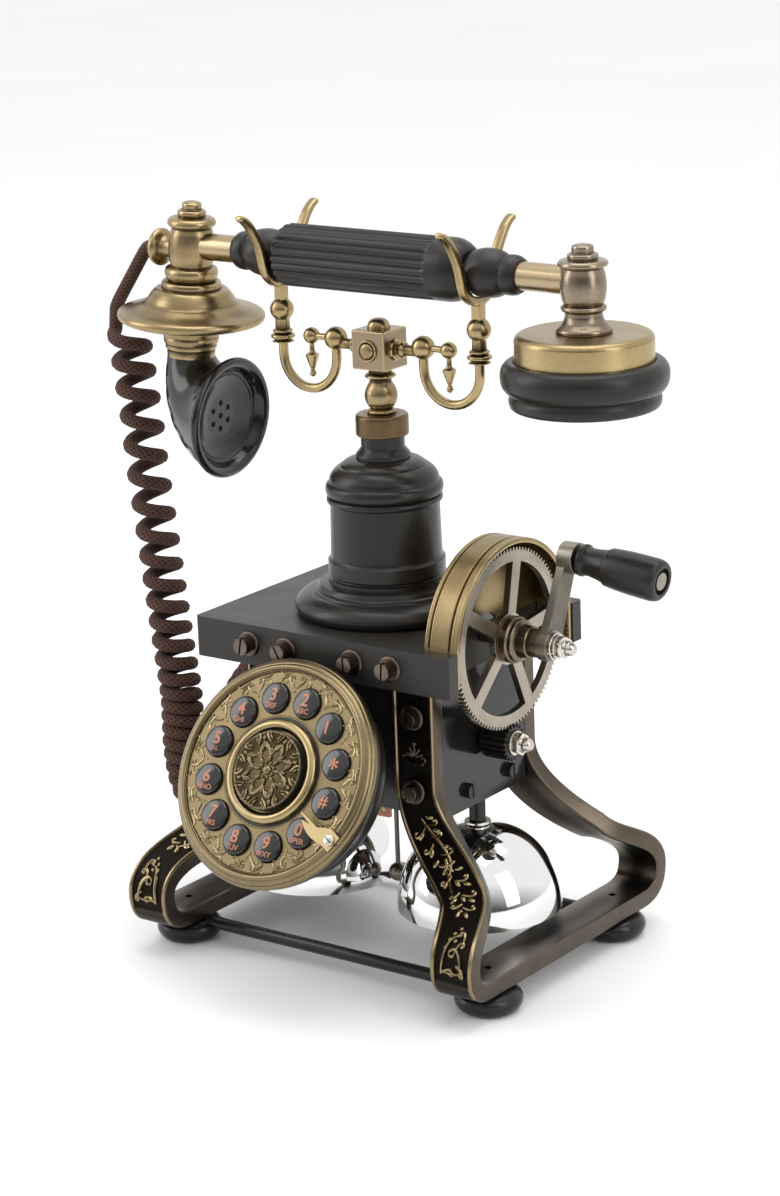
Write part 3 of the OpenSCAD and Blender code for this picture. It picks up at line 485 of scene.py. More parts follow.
def lathe(section, at=(0, 0, 0), axis=(0, 0, 1), steps=96, closed=False):
    """Spins a half section of (radius, height) points about its axis."""
    shape = bmesh.new()
    dots = [shape.verts.new((r, 0, h)) for r, h in section]
    lines = [shape.edges.new(pair) for pair in zip(dots, dots[1:] + dots[:1]) if closed or pair[1] != dots[0]]
    bmesh.ops.spin(shape, geom=dots + lines, cent=(0, 0, 0), axis=(0, 0, 1), dvec=(0, 0, 0),
                   angle=2 * math.pi, steps=steps, use_merge=True)
    bmesh.ops.remove_doubles(shape, verts=shape.verts, dist=0.0005)
    bmesh.ops.recalc_face_normals(shape, faces=shape.faces)
    turn = Vector((0, 0, 1)).rotation_difference(Vector(axis)).to_matrix().to_4x4()
    bmesh.ops.transform(shape, matrix=Matrix.Translation(at) @ turn, verts=shape.verts)
    return shape


def rounded(shape, width, segments=2, sharper_than=30):
    """Breaks every edge that is sharper than so many degrees."""
    edges = [e for e in shape.edges if e.calc_face_angle(0) > math.radians(sharper_than)]
    bmesh.ops.bevel(shape, geom=edges, offset=width, offset_type="OFFSET", segments=segments, profile=0.5,
                    affect="EDGES", clamp_overlap=True, material=-1, loop_slide=True)
    return shape


def copied(node, width=0.0, segments=2):
    """The CAD node's mesh in mm, welded, with its flat faces whole and its edges broken."""
    shape = bmesh.new()
    shape.from_mesh(frame["nodes"][node].data)
    bmesh.ops.scale(shape, vec=(1000, 1000, 1000), verts=shape.verts)
    bmesh.ops.remove_doubles(shape, verts=shape.verts, dist=0.002)
    bmesh.ops.dissolve_limit(shape, angle_limit=math.radians(0.5), verts=shape.verts, edges=shape.edges)
    return rounded(shape, width, segments) if width else shape


def joined(*shapes):
    """Several shapes as one."""
    whole = bmesh.new()
    for shape in shapes:
        mesh = bpy.data.meshes.new("part")
        shape.to_mesh(mesh)
        shape.free()
        whole.from_mesh(mesh)
        bpy.data.meshes.remove(mesh)
    return whole


def moved(shape, matrix):
    bmesh.ops.transform(shape, matrix=matrix, verts=shape.verts)
    return shape


def mirrored(shape, axis="X"):
    """The shape and its mirror image."""
    other = shape.copy()
    bmesh.ops.scale(other, vec=(-1, 1, 1) if axis == "X" else (1, -1, 1), verts=other.verts)
    bmesh.ops.reverse_faces(other, faces=other.faces)
    return joined(shape, other)


def blob(centre, size, turn=None, u=12, v=8):
    """A ball, stretched to (x, y, z) radii and turned."""
    shape = bmesh.new()
    place = Matrix.Translation(centre) @ (turn or Matrix()) @ Matrix.Diagonal((*size, 1))
    bmesh.ops.create_uvsphere(shape, u_segments=u, v_segments=v, radius=1, matrix=place)
    return shape


print("shape tools are ready")


# %% Tools for blocks and saw cuts
def only_points(made):
    return [part for part in made if isinstance(part, bmesh.types.BMVert)]


def brick(size, at):
    """A block of the given size about the given place."""
    shape = bmesh.new()
    bmesh.ops.create_cube(shape, size=1, matrix=Matrix.Translation(at) @ Matrix.Diagonal((*size, 1)))
    return shape


def sawn(shape, at, facing):
    """Saws the shape through, keeps the side that the cut faces towards and closes the cut."""
    cut = bmesh.ops.bisect_plane(shape, geom=shape.verts[:] + shape.edges[:] + shape.faces[:],
                                 plane_co=at, plane_no=facing, clear_inner=True, dist=0.0001)
    bmesh.ops.holes_fill(shape, edges=[e for e in cut["geom_cut"] if isinstance(e, bmesh.types.BMEdge)],
                         sides=0)
    return shape


print("block and saw tools are ready")

# %% [markdown]
# ## The plate, the box and the other sawn parts
# The top plate is a thick slab with a slot for the gear, and the generator box is folded sheet with
# bored walls. These CAD shapes are right as they are, so they only get broken edges and enamel. The
# ringer, the magnets and the switch inside the open box and column are finished the same way.

# %% Finish the sawn and milled parts
milled = [
    ("Top plate", "top_plate", 0.9, plate_enamel), ("Generator box", "generator_box", 0.5, box_enamel),
    ("Tie bars", "tie_bars", 0.3, rubber), ("Dial bracket", "dial_bracket", 0.5, plate_enamel),
    ("Keypad board", "keypad_board", 0.1, board_resin), ("Bell posts", "bell_posts", 0.3, rubber),
    ("Bell washers", "bell_washers", 0.25, bright_nickel), ("Ringer yoke", "ringer_yoke", 0.25, copper_wire),
    ("Clapper", "clapper", 0.15, arm_steel), ("Field magnets", "field_magnets", 0.6, magnet_paint),
    ("Armature", "armature", 0.3, copper_wire), ("Hook switch", "hook_switch", 0.25, tube_brass),
    ("Pinion", "pinion", 0.08, rubber), ("Main gear", "main_gear", 0.1, gear_steel)]
for name, node, width, finish in milled:
    put_in_place(name, node, copied(node, width), finish)

# %% [markdown]
# ## The slotted screws
# Cheese-head screws on plain washers hold the box to the plate and the frames to the box. A slot
# could be a boolean, but two half heads with a gap between them give the same slot more cleanly.

# %% Cut the screws
half_slot = 0.42


def slotted_screw(at, out, turned_by, rise, washer=5.2, head=3.5):
    half = rounded(lathe([(0, rise - 2.9), (head, rise - 2.9), (head, rise), (0, rise)], steps=40), 0.35, 2)
    sawn(half, (0, half_slot, 0), (0, 1, 0))
    floor_of_slot = lathe([(0, 0), (head - 0.4, 0), (head - 0.4, rise - 1.3), (0, rise - 1.3)], steps=40)
    shape = joined(mirrored(half, "Y"), floor_of_slot)
    if washer:
        ring = [(0, 0), (washer, 0)] + soft((washer, 0.1), (washer, 0.6), (washer - 0.5, 1.05),
                                            (washer - 1.1, 1.1))
        shape = joined(shape, lathe(ring + [(0, 1.1)], steps=48))
    turn = Vector((0, 0, 1)).rotation_difference(Vector(out)).to_matrix().to_4x4()
    return moved(shape, Matrix.Translation(at) @ turn @ Matrix.Rotation(math.radians(turned_by), 4, "Z"))


plate_front = min(v.co.y for v in frame["nodes"]["top_plate"].data.vertices) * 1000
screws = [slotted_screw((x, plate_front, 134.8), (0, -1, 0), turn, 6)
          for x, turn in ((-35, 80), (-16.5, 118), (16.5, 92), (35, 86))]
for side in (-1, 1):
    for z, seat, turn in ((80.7, 36.5, 52), (111.6, 36.05, 86)):
        screws += [slotted_screw((36.3 * side, -seat, z), (0, -1, 0), turn, 4.2),
                   slotted_screw((36.3 * side, seat, z), (0, 1, 0), turn, 4.2)]
black_screws = [slotted_screw((45.5, y, 75.6), (1, 0, 0), 5, 2.6, washer=0, head=3.1) for y in (-12.6, 17)]
for shape in black_screws:
    for facet in shape.faces:
        facet.material_index = 1
put_in_place("Slotted screws", "slotted_screws", joined(*screws, *black_screws), screw_bronze, rubber)

# %% [markdown]
# ## The cast side frames
# Each side frame is one bar: it comes down the front of the box, sweeps out to the foot, runs back
# under the bell and goes up again behind. Its outer face has a sunk panel between two rims, which a
# modeller could cut with insets. Here the whole section, rims and all, is carried along the CAD
# model's curve, and the panel simply rises level with its rims where the bar turns under.

# %% Find the frame's line
leg_curves = [[(36.3, -32.8, 84), (36.3, -32.8, 66), (54, -38, 55), (66, -47, 46)],
              [(66, -47, 46), (73, -52.2, 40.8), (77, -69, 37), (76.5, -69, 25)],
              [(76.5, -69, 25), (76.3, -69, 17), (76, -65, 13.6), (76, -56, 13.6)]]


def bent(curve, steps):
    """Points along a cubic curve with four control points, without its last one."""
    a, b, c, d = (Vector(p) for p in curve)
    return [(1 - t) ** 3 * a + 3 * (1 - t) ** 2 * t * b + 3 * (1 - t) * t * t * c + t ** 3 * d
            for t in (k / steps for k in range(steps))]


front_line = [Vector((36.3, -32.8, z)) for z in (126, 110, 97, 88)]
front_line += [p for curve in leg_curves for p in bent(curve, 22)]
front_line += [Vector((76, y, 13.6)) for y in (-56, -47.5, -44.5)]
frame_line = front_line + [Vector((p.x, -p.y, p.z)) for p in reversed(front_line)]
frame_places = [station(p, frame_line[min(i + 1, len(frame_line) - 1)] - frame_line[max(i - 1, 0)],
                        (1, 0, 0), 1, 1) for i, p in enumerate(frame_line)]
leg_travel = [0.0]
for a, b in zip(front_line, front_line[1:]):
    leg_travel.append(leg_travel[-1] + (b - a).length)
print(round(leg_travel[-1]), "mm from the plate to the foot")


# %% Carry the frame's section along it
def frame_outline(depth):
    """Half of the section is listed; depth is how far the panel is sunk."""
    half = [(1.5, -3.75), (8.9, -3.75), (9.55, -3.35), (9.8, -2.7), (9.8, 2.7), (9.6, 3.3), (9.1, 3.75),
            (8.4, 3.75), (7.9, 3.75 - depth * 0.6), (7.4, 3.75 - depth)]
    return half + [(-x, y) for x, y in reversed(half)]


frame_paint = [0] * 5 + [3, 3, 3, 1, 1, 1, 3, 3, 3] + [0] * 6
panel_end = 20.5
frame_bar = lofted(frame_places, section=[frame_outline(0.9 if p.z > panel_end else 0.0) for p in frame_line],
                   paint=frame_paint)
for face in frame_bar.faces:
    middle = face.calc_center_median()
    if middle.z < panel_end - 1 and abs(middle.y) < 68.4:
        face.material_index = 0
def nearest_face(shape, spot):
    return min(shape.faces, key=lambda f: (f.calc_center_median() - spot).length)


foot_across, foot_along, hole_top = 76, 46, 17.35
for y in (-foot_along, foot_along):
    hole_spot = Vector((foot_across, y, hole_top))
    floor_of_hole = nearest_face(frame_bar, hole_spot)
    made = bmesh.ops.inset_region(frame_bar, faces=[floor_of_hole], thickness=0.15, depth=0)
    bmesh.ops.bevel(frame_bar, geom=list(floor_of_hole.verts), offset=0.7, offset_type="OFFSET", segments=2,
                    profile=0.5, affect="VERTICES", clamp_overlap=True, material=-1, loop_slide=True)
    floor_of_hole = nearest_face(frame_bar, hole_spot)
    pushed = bmesh.ops.extrude_face_region(frame_bar, geom=[floor_of_hole])["geom"]
    bmesh.ops.delete(frame_bar, geom=[floor_of_hole], context="FACES_ONLY")
    bmesh.ops.translate(frame_bar, vec=(0, 0, -3), verts=only_points(pushed))
print(len(frame_bar.faces), "faces in one frame")

# %% [markdown]
# Cast foliage stands up from the panels: a palmette between the two screws, a vine with a star
# flower down the sweep and a scroll of strapwork at the foot. A sculptor would draw it on a flat
# sheet and let it bend with the metal, and so does this: each stem is drawn in the flat, as
# distance down the leg and distance across it, and mapped onto the curved panel.

# %% Draw foliage in the flat
def tendril(start, heading, length, curl, dots=11):
    """A line in the flat that leaves start along a heading and winds tighter and tighter."""
    x, y = start
    line = [(x, y)]
    for k in range(dots):
        t = (k + 1) / dots
        heading += curl * 3 * t * t / dots
        x += length / dots * (1.3 - 0.6 * t) * math.cos(heading)
        y += length / dots * (1.3 - 0.6 * t) * math.sin(heading)
        line.append((x, y))
    return line


def stems(lines, onto, thick, height=0.25):
    """Raises each flat line as a rounded stem that swells in the middle and ends in a bud."""
    shapes = []
    for line in lines:
        last = len(line) - 1
        sizes = [thick * (0.55 + 0.45 * math.sin(math.pi * min(1, (i + 0.6) / last))) for i in range(last)]
        shapes.append(carried([onto(x, y, height) for x, y in line], sizes + [thick * 0.45], 6))
        shapes.append(leaf(onto, line[-1], 0, (thick * 1.15, thick * 1.15, thick * 1.1), height))
    return joined(*shapes)


def leaf(onto, at, heading, size, height=0.25):
    """A rounded leaf: a ball stretched to (long, wide, high) that lies on the surface."""
    x, y = at
    middle, ahead = onto(x, y, height), onto(x + 0.1 * math.cos(heading), y + 0.1 * math.sin(heading), height)
    long = (ahead - middle).normalized()
    high = (onto(x, y, height + 1) - middle).normalized()
    turn = Matrix((long, high.cross(long), high)).transposed().to_4x4()
    return blob(middle, size, turn, 8, 6)


def painted(shape, index):
    for face in shape.faces:
        face.material_index = index
    return shape


def on_leg(down, across, height):
    """The panel of the front leg, as mm down it from the plate, mm across it and mm above it."""
    i = next(k for k, travel in enumerate(leg_travel[1:]) if travel >= down)
    share = (down - leg_travel[i]) / (leg_travel[i + 1] - leg_travel[i])
    spot = Vector((across, 2.85 + height, 0))
    return (frame_places[i] @ spot).lerp(frame_places[i + 1] @ spot, share)


print("flat drawing is ready")

# %% Cast the foliage on the legs
vine = [tendril((57, -0.6), 0.25, 30, -0.9), tendril((80, -0.6), -0.25, 28, 0.9)]
for down, side, size, curl in [(60, 1, 8, 3.6), (61, -1, 9, 3.4), (66, 1, 7, 3.9), (69, -1, 8, 3.6),
                               (75, 1, 8, 3.3),
                               (86, -1, 8, 3.6), (89, 1, 8, 3.6), (95, -1, 7, 3.9), (97, 1, 8, 3.4),
                               (102, -1, 7, 3.6), (104, 1, 7, 3.4)]:
    vine.append(tendril((down, 0.3 * side), side * 0.9, size, side * curl))
vine_leaves = [(58, 3.2, 0.9), (63.5, -3.8, -1.0), (65, 3.6, 0.7), (72, -3.0, -0.7), (73, 3.4, 0.9),
               (77, -3.6, -1.2),
               (85, 3.7, 1.2), (88, -3.9, -0.8), (93, 3.9, 0.8), (99, -3.7, -0.8), (101, 3.6, 0.9),
               (107, -1.6, -0.3),
               (108, 1.8, 0.4), (90.5, 0.4, 0.2), (99, 0.2, 0.2)]
star = [leaf(on_leg, (81 + 1.9 * math.cos(a), 1.9 * math.sin(a)), a, (2.1, 0.8, 0.6)) for a in
        (k * 2 * math.pi / 5 + 0.3 for k in range(5))]
vine_relief = painted(joined(stems(vine, on_leg, 0.66), *star, leaf(on_leg, (81, 0), 0, (0.8, 0.8, 0.75)),
                             *[leaf(on_leg, (d, a), h, (1.9, 0.9, 0.65)) for d, a, h in vine_leaves]), 2)
scroll = [tendril((130.5, -4.6), 3.05, 16, -1.2), tendril((130.5, -4.6), 2.2, 9, -4.4),
          tendril((130, 4.8), 3.3, 15, 4.2), tendril((129.6, -4.4), 1.5, 9.5, 0.5),
          tendril((124.5, 0.8), 2.9, 9, -4.2), tendril((121, 4.0), 3.0, 8, 3.8),
          tendril((127, 2.4), 1.2, 7, -3.9)]
beads = [leaf(on_leg, spot, 0, (0.95, 0.95, 0.7)) for spot in
         [(114.5, 1.6), (116.4, -0.6), (116.8, 1.9), (118.6, -2.2), (119.2, 0.4), (121.6, -3.4)]]
scroll_relief = painted(joined(stems(scroll, on_leg, 0.72, 0.35), *beads), 3)
fan = [leaf(on_leg, (31 - 2.6 * math.cos(a), 2.6 * math.sin(a)), math.pi - a, (2.1, 0.6, 0.4)) for a in
       (-1.2, -0.6, 0, 0.6, 1.2)]
fan += [leaf(on_leg, (25.6, 0), 0, (0.9, 0.9, 0.5))]
palmette = painted(joined(*fan, stems([tendril((33, -0.4), -1.5, 8, -3.6), tendril((33, 0.4), 1.5, 8, 3.6),
                                       [(33.6, -4), (33.9, 0), (33.6, 4)]], on_leg, 0.46)), 0)
foliage = mirrored(joined(vine_relief, scroll_relief, palmette), "Y")
frame_finishes = (frame_bronze, panel_black, aged_bronze, edge_gold)
whole_frame = joined(frame_bar, foliage)
other_frame = whole_frame.copy()
bmesh.ops.scale(other_frame, vec=(-1, 1, 1), verts=other_frame.verts)
bmesh.ops.reverse_faces(other_frame, faces=other_frame.faces)
put_in_place("Right side frame", "side_frame_right", whole_frame, *frame_finishes)
put_in_place("Left side frame", "side_frame_left", other_frame, *frame_finishes)

# %% [markdown]
# ## The feet and the column
# Four rubber buns keep the stand off the table. The column is a turned shell, and turned shapes
# are what the spin operator is for: the half section is drawn once, with coves and beads as smooth
# runs of points between crisp fillets, and spun about the upright axis.

# %% Turn the feet and the column
bun = [(0, 0), (8.6, 0)] + soft((8.6, 0), (11.2, 0.7), (13.0, 2.4), (13.8, 4.8), (13.3, 6.9), (11.4, 8.6),
                                (8.8, 9.3))
bun += [(6, 9.35), (6, 9.85), (0, 9.85)]
bun_shape = lathe(bun, (foot_across, foot_along, 0), steps=48)
put_in_place("Bun feet", "bun_feet", mirrored(mirrored(bun_shape, "X"), "Y"), rubber)
column = [(30, 142.8), (36, 142.8)]
column += soft((36.1, 142.8), (37.4, 144), (38, 146), (37.4, 148), (35.6, 149.9), (32.8, 151.3),
               (30.6, 151.8))
column += [(30.2, 152.5)] + soft((29.4, 152.6), (28.6, 153.2), (28.1, 154.2), (27.5, 155)) + [(24, 155.5)]
column += soft((23.9, 157), (23.3, 157.3), (22.8, 157.9), (23.3, 158.5), (23.9, 158.9)) + [(23.9, 164.3)]
column += soft((23.3, 164.9), (22.8, 166), (22.6, 170)) + [(22.2, 187.6)]
column += soft((22.2, 187.7), (23.3, 188.3), (23.6, 189.3), (23.3, 190.3), (22.5, 190.7))
column += soft((22.7, 191), (23.6, 191.9), (23.9, 193.6), (23.6, 195.4), (22.7, 196.4)) + [(22.3, 196.6)]
column += soft((22.3, 197.2), (21.8, 199), (20.4, 201), (18.3, 202.7)) + [(17.5, 202.8)]
column += soft((17.2, 203.5), (15.2, 204.9), (12.6, 205.8)) + [(11.1, 205.9)]
column += soft((11.1, 206.6), (11.0, 207.6), (10.2, 208.6), (9.1, 210)) + [(8.9, 210.4), (8.9, 215)]
column += [(3.1, 215), (3.1, 200), (19, 196), (19, 160), (26, 148)]
put_in_place("Column shell", "column_shell", lathe(column, closed=True), column_enamel)
collar = [(3.1, 215.02), (10.2, 215.02)] + soft((10.2, 215.1), (10.7, 215.6), (10.75, 217)) + [(10.75, 222.4)]
collar += soft((10.75, 222.5), (10.5, 223.4), (9.9, 223.9)) + [(6.8, 224), (3.1, 224)]
put_in_place("Column collar", "column_collar", lathe(collar, closed=True), collar_bronze)

# %% [markdown]
# ## The gear hood
# The brass cover behind the large gear is a spun drum, cut in half so that it straddles the plate.
# It is made the same way here: a full spin about the crank's axis, then a cut through the middle.

# %% Spin the hood and halve it
hood = [(9, 0), (40.6, 0)] + soft((40.6, 0), (41, 0.3), (41, 1.4)) + [(40.3, 1.8), (40.3, 2.4)]
hood += soft((40.7, 2.5), (41, 2.9), (41, 3.6)) + [(41, 10.7)] + soft((41, 10.8), (40.9, 11.1), (40.3, 11.3))
hood += [(40.3, 11.9)] + soft((40.5, 12), (41, 12.5), (41, 13.4)) + [(41, 15)] + soft((41, 15.1),
                                                                                      (40.7, 15.6),
                                                                                      (39.8, 15.6))
hood += [(38.9, 15.3), (38.8, 1.4), (9, 1.4)]
drum = lathe(hood, (46.4, 0, 138), (1, 0, 0), steps=128, closed=True)
sawn(drum, (0, 0, 142.85), (0, 0, 1))
lugs = brick((15.4, 2, 14.9), (54.2, 39.95, 135.4))
put_in_place("Gear hood", "gear_hood", joined(drum, mirrored(rounded(lugs, 0.3), "Y")), hood_brass)

# %% [markdown]
# ## The dial
# The dial is a round housing that leans back under the plate. A stepped brass bezel holds an
# engraved face with twelve holes, and a raised medallion fills the middle. Everything is modelled
# flat, with its face looking up, and then tilted into place by one matrix.

# %% Turn the housing and the bezel
on_dial = Matrix.Translation((0, -81.7, 96.4)) @ Matrix.Rotation(math.radians(60.3), 4, "X")
housing = [(0, -24), (35, -24)] + soft((36, -23.9), (38.8, -23), (40, -21), (40.4, -18), (41.3, -14.8),
                                       (43.2, -12),
                                       (44.9, -9))
housing += soft((45.2, -8.4), (45.8, -7.4), (45.8, -6.1)) + [(43.4, -6), (41.6, -11.6), (39.2, -15.6),
                                                             (38, -20.4),
                                                             (0, -20.4)]
put_in_place("Dial housing", "dial_housing", moved(lathe(housing), on_dial), column_enamel)
bezel = [(41.05, -5.85), (45.4, -5.85)] + soft((45.5, -5.8), (46.4, -5), (46.6, -3.8), (46.4, -2.6),
                                               (45.9, -1.8))
bezel += [(45.6, -1.7)] + soft((45.4, -1.4), (44.9, -0.7), (44, -0.1)) + [(43.7, -0.1)]
bezel += soft((43.5, 0.1), (42.9, 0.55), (42.2, 0.6), (41.6, 0.3), (41.3, -0.3)) + [(41.05, -0.5)]
put_in_place("Dial bezel", "dial_bezel", moved(lathe(bezel, steps=128, closed=True), on_dial), bezel_bronze)

# %% [markdown]
# The face is the CAD plate with its holes rounded over. Scrolls and leaves in low relief fill the
# band outside the buttons, one spray to each gap, drawn in the flat in polar coordinates.

# %% Engrave the face
face_plate = rounded(moved(copied("dial_face"), on_dial.inverted()), 0.35, 3)


def on_face(round_it, out, height):
    """The face as mm round the rim, mm out from the middle and mm above it."""
    angle = round_it / 38.6
    return Vector((out * math.cos(angle), out * math.sin(angle), -1.05 + height))


sprays, face_leaves = [], []
for k in range(12):
    middle = math.radians(30 * k) * 38.6
    for side in (-1, 1):
        sprays += [tendril((middle + side * 0.6, 34.4), math.pi / 2 - side * 0.9, 8.5, side * 3.6),
                   tendril((middle + side * 1.2, 38.0), math.pi / 2 - side * 1.35, 8.6, -side * 2.4),
                   tendril((middle + side * 3.2, 39.8), math.pi / 2 - side * 1.75, 6.5, side * 2.6)]
        face_leaves += [(middle + side * 1.5, 35.9, side * 0.9), (middle + side * 6.2, 39.9, side * 0.2),
                        (middle + side * 4.9, 36.6, -side * 0.6)]
    face_leaves.append((middle, 33.2, math.pi / 2))
engraving = joined(stems(sprays, on_face, 0.42, 0.14), *[leaf(on_face, (x, y), a, (1.1, 0.5, 0.35), 0.1)
                                                       for x, y, a in face_leaves])
rims = [lathe([(r, -1.1), (r + 0.2, -0.85), (r + 0.4, -1.1)], steps=96) for r in (22.6, 40.3)]
# The dark annulus just outside the medallion's ring is painted shadow: black enamel laid where the groove there lies in
# shade.
painted_groove_shadow = painted(lathe([(21.3, -1.1), (21.3, -0.93), (22.3, -0.93), (22.3, -1.1)], steps=96, closed=True),
                    1)
face = moved(joined(face_plate, painted(engraving, 2), painted_groove_shadow, *rims), on_dial)
put_in_place("Dial face", "dial_face", face, dial_brass, column_enamel, bezel_bronze)

# %% [markdown]
# In the middle a polished ring surrounds a raised medallion. It carries a wreath of scrolls, leaves
# and petals in high relief, with a star flower at its heart.

# %% Carve the medallion
ring = [(16.5, -0.95), (21.2, -0.95), (21.2, -0.2)] + soft((21.2, -0.1), (20.8, 0.9), (19.8, 1.65),
                                                           (18.7, 1.8),
                                                           (17.6, 1.3), (17, 0.3)) + [(16.5, 0.0)]
button = [(0, -0.95), (15.7, -0.95)] + soft((15.9, 2.2), (15.9, 2.8), (15.5, 3.15),
                                            (15.1, 3.0)) + [(14.8, 2.7), (0, 2.7)]
medallion = lathe(button, steps=96)
# The medallion's side wall and the outer edge of its lip take the black enamel: painted shade for the shadow along its
# raised edge.
for facet in medallion.faces:
    if facet.calc_center_median().xy.length > 15.6:
        facet.material_index = 1


def on_medallion(x, y, height):
    return Vector((x, y, 2.65 + height))


wreath, petals = [], []
for k in range(8):
    a = k * math.pi / 4
    for side in (-1, 1):
        root = (6.2 * math.cos(a), 6.2 * math.sin(a))
        wreath.append(tendril(root, a + side * 0.5, 9.5, side * 3.9))
        tip = (11.4 * math.cos(a + side * 0.12), 11.4 * math.sin(a + side * 0.12))
        wreath.append(tendril(tip, a + side * 0.95, 6.5, -side * 3.4))
        petals.append((9.4, a + side * 0.3, a + side * 0.9, (1.7, 0.6, 0.8)))
        petals.append((13.4, a + side * 0.14, a + side * 0.7, (1.3, 0.55, 0.7)))
    petals += [(4.7, a, a, (1.7, 0.75, 1.0)), (8.0, a, a, (1.5, 0.6, 0.9)),
               (13.2, a + 0.39, a, (1.2, 0.8, 0.8)),
               (3.2, a + 0.39, a, (0.7, 0.7, 0.9)), (11.4, a + 0.39, a, (0.7, 0.7, 0.7))]
relief = joined(stems(wreath, on_medallion, 0.5, 0.3), leaf(on_medallion, (0, 0), 0, (2.1, 2.1, 1.4)),
                *[leaf(on_medallion, (r * math.cos(a), r * math.sin(a)), h, s) for r, a, h, s in petals])
centre = joined(painted(lathe(ring, steps=96, closed=True), 2), medallion, relief)
put_in_place("Dial centre", "dial_centre", moved(centre, on_dial), dial_brass, column_enamel, relief_gold)

# %% [markdown]
# The finger stop is a thin plate filed to a horn. Its outline is drawn as an edge loop, filled,
# extruded and broken at the edges, and a screw clamps it to the bezel. Its slot is not cut: a thin
# bar of black enamel on the head is painted shadow.

# %% File the finger stop
outline = [(46.4, 3.6), (41.4, 3.7), (38.4, 2.2), (35.4, -0.2), (32, -1.5), (28, -1.3), (25.5, -0.5),
           (24.6, -0.4),
           (25.2, -1.1), (27.6, -2.7), (30.6, -4.1), (33.4, -4.8), (36.4, -4.9), (39.4, -4.3), (42, -3.7),
           (46.4, -3.6)]
stop = bmesh.new()
corners = [stop.verts.new((x, y, 1.9)) for x, y in outline]
bmesh.ops.contextual_create(stop, geom=corners)
pushed = bmesh.ops.extrude_face_region(stop, geom=stop.faces[:])["geom"]
bmesh.ops.translate(stop, vec=(0, 0, 1.2), verts=[v for v in pushed if isinstance(v, bmesh.types.BMVert)])
bmesh.ops.recalc_face_normals(stop, faces=stop.faces)
rounded(stop, 0.35, 2)
screw = rounded(lathe([(0, 3), (2.2, 3), (2.2, 3.9), (1.8, 4.2), (0, 4.2)], (43.6, 0, 0), steps=32), 0.05, 1)
# The screw's slot is a thin bar of black enamel on its head: painted shadow where a cut slot would be dark.
painted_slot_shadow = brick((3.6, 0.6, 0.12), (43.6, 0, 4.16))
post = lathe([(0, 0.3), (2.4, 0.3), (2.4, 2), (0, 2)], (43.6, 0, 0), steps=32)
stop = joined(stop, post, painted(screw, 1), painted(painted_slot_shadow, 2))
put_in_place("Finger stop", "finger_stop", moved(stop, on_dial @ Matrix.Rotation(math.radians(-30), 4, "Z")),
             relief_gold, bright_nickel, column_enamel)

# %% [markdown]
# ## The buttons
# Each button is a glossy dome with its digit and letters moulded in copper orange. The characters
# start as text, become a mesh, are cut across and across into a fine grid so that they can bend,
# and are laid over the dome. One button is moulded twelve times, and every digit stays upright.

# %% Mould the twelve buttons
def dome(r):
    return 1.4 - 0.0235 * r * r


def characters(text, tall, middle):
    """Text as a flat mesh of one height, centred on a spot."""
    curve = bpy.data.curves.new("characters", "FONT")
    curve.body, curve.offset = text, 0.016
    holder = bpy.data.objects.new("characters", curve)
    mesh = bpy.data.meshes.new_from_object(holder)
    flat = bmesh.new()
    flat.from_mesh(mesh)
    bpy.data.objects.remove(holder)
    bpy.data.meshes.remove(mesh)
    bpy.data.curves.remove(curve)
    low = Vector((min(v.co.x for v in flat.verts), min(v.co.y for v in flat.verts), 0))
    high = Vector((max(v.co.x for v in flat.verts), max(v.co.y for v in flat.verts), 0))
    scale = tall / (high.y - low.y)
    place = Matrix.Translation((*middle, 0)) @ Matrix.Diagonal((scale, scale, 1, 1))
    return moved(flat, place @ Matrix.Translation((low + high) / -2))


def laid_on_dome(flat):
    """Cuts the flat characters into a grid, drops them on the dome and thickens them."""
    bmesh.ops.remove_doubles(flat, verts=flat.verts, dist=0.001)
    for k in range(-6, 7):
        for cut_at, normal in (((k * 0.8, 0, 0), (1, 0, 0)), ((0, k * 0.8, 0), (0, 1, 0))):
            bmesh.ops.bisect_plane(flat, geom=flat.verts[:] + flat.edges[:] + flat.faces[:], plane_co=cut_at,
                                   plane_no=normal, dist=0.0001)
    for vertex in flat.verts:
        vertex.co.z = dome(vertex.co.xy.length) - 0.1
    pushed = bmesh.ops.extrude_face_region(flat, geom=flat.faces[:])["geom"]
    bmesh.ops.translate(flat, vec=(0, 0, 0.16), verts=only_points(pushed))
    bmesh.ops.recalc_face_normals(flat, faces=flat.faces)
    return painted(flat, 1)


cap = [(0, -8.4), (2, -8.4), (2, -4.9), (7, -4.9), (7, -3.4), (6.25, -3.4), (6.25, -0.2)]
cap += soft((6.25, -0.1), (6.1, 0.28), (5.7, dome(5.7))) + [(r, dome(r)) for r in (5.2, 4.6, 3.9, 3.1, 2.3,
                                                                                   1.5, 0.7, 0)]
buttons = ["1", "2 ABC", "3 DEF", "4 GHI", "5 JKL", "6 MNO", "7 PRS", "8 TUV", "9 WXY", "0 OPER", "#", "*"]
for k, label in enumerate(buttons):
    digit, _, letters = label.partition(" ")
    tall = {"1": 5.2, "#": 4.8, "*": 4.8}.get(digit, 5.2)
    flat = characters(digit, tall, (0, 1.2 if letters else 0))
    if letters:
        flat = joined(flat, characters(letters, 2.2, (-0.2, -3.3)))
    angle = math.radians(45 + 30 * k)
    place = on_dial @ Matrix.Translation((30 * math.cos(angle), 30 * math.sin(angle), 0))
    node = "key_" + {"#": "hash", "*": "star"}.get(digit, digit)
    put_in_place("Button " + node[4:], node, moved(joined(lathe(cap, steps=56), laid_on_dome(flat)), place),
                 key_moulding, label_ink)

# %% [markdown]
# ## The bells
# Two chromed gongs hang mouth down under the box. Their wall is thin and even, their shoulder is
# full and their lip is square, so the section is drawn with its thickness and spun.

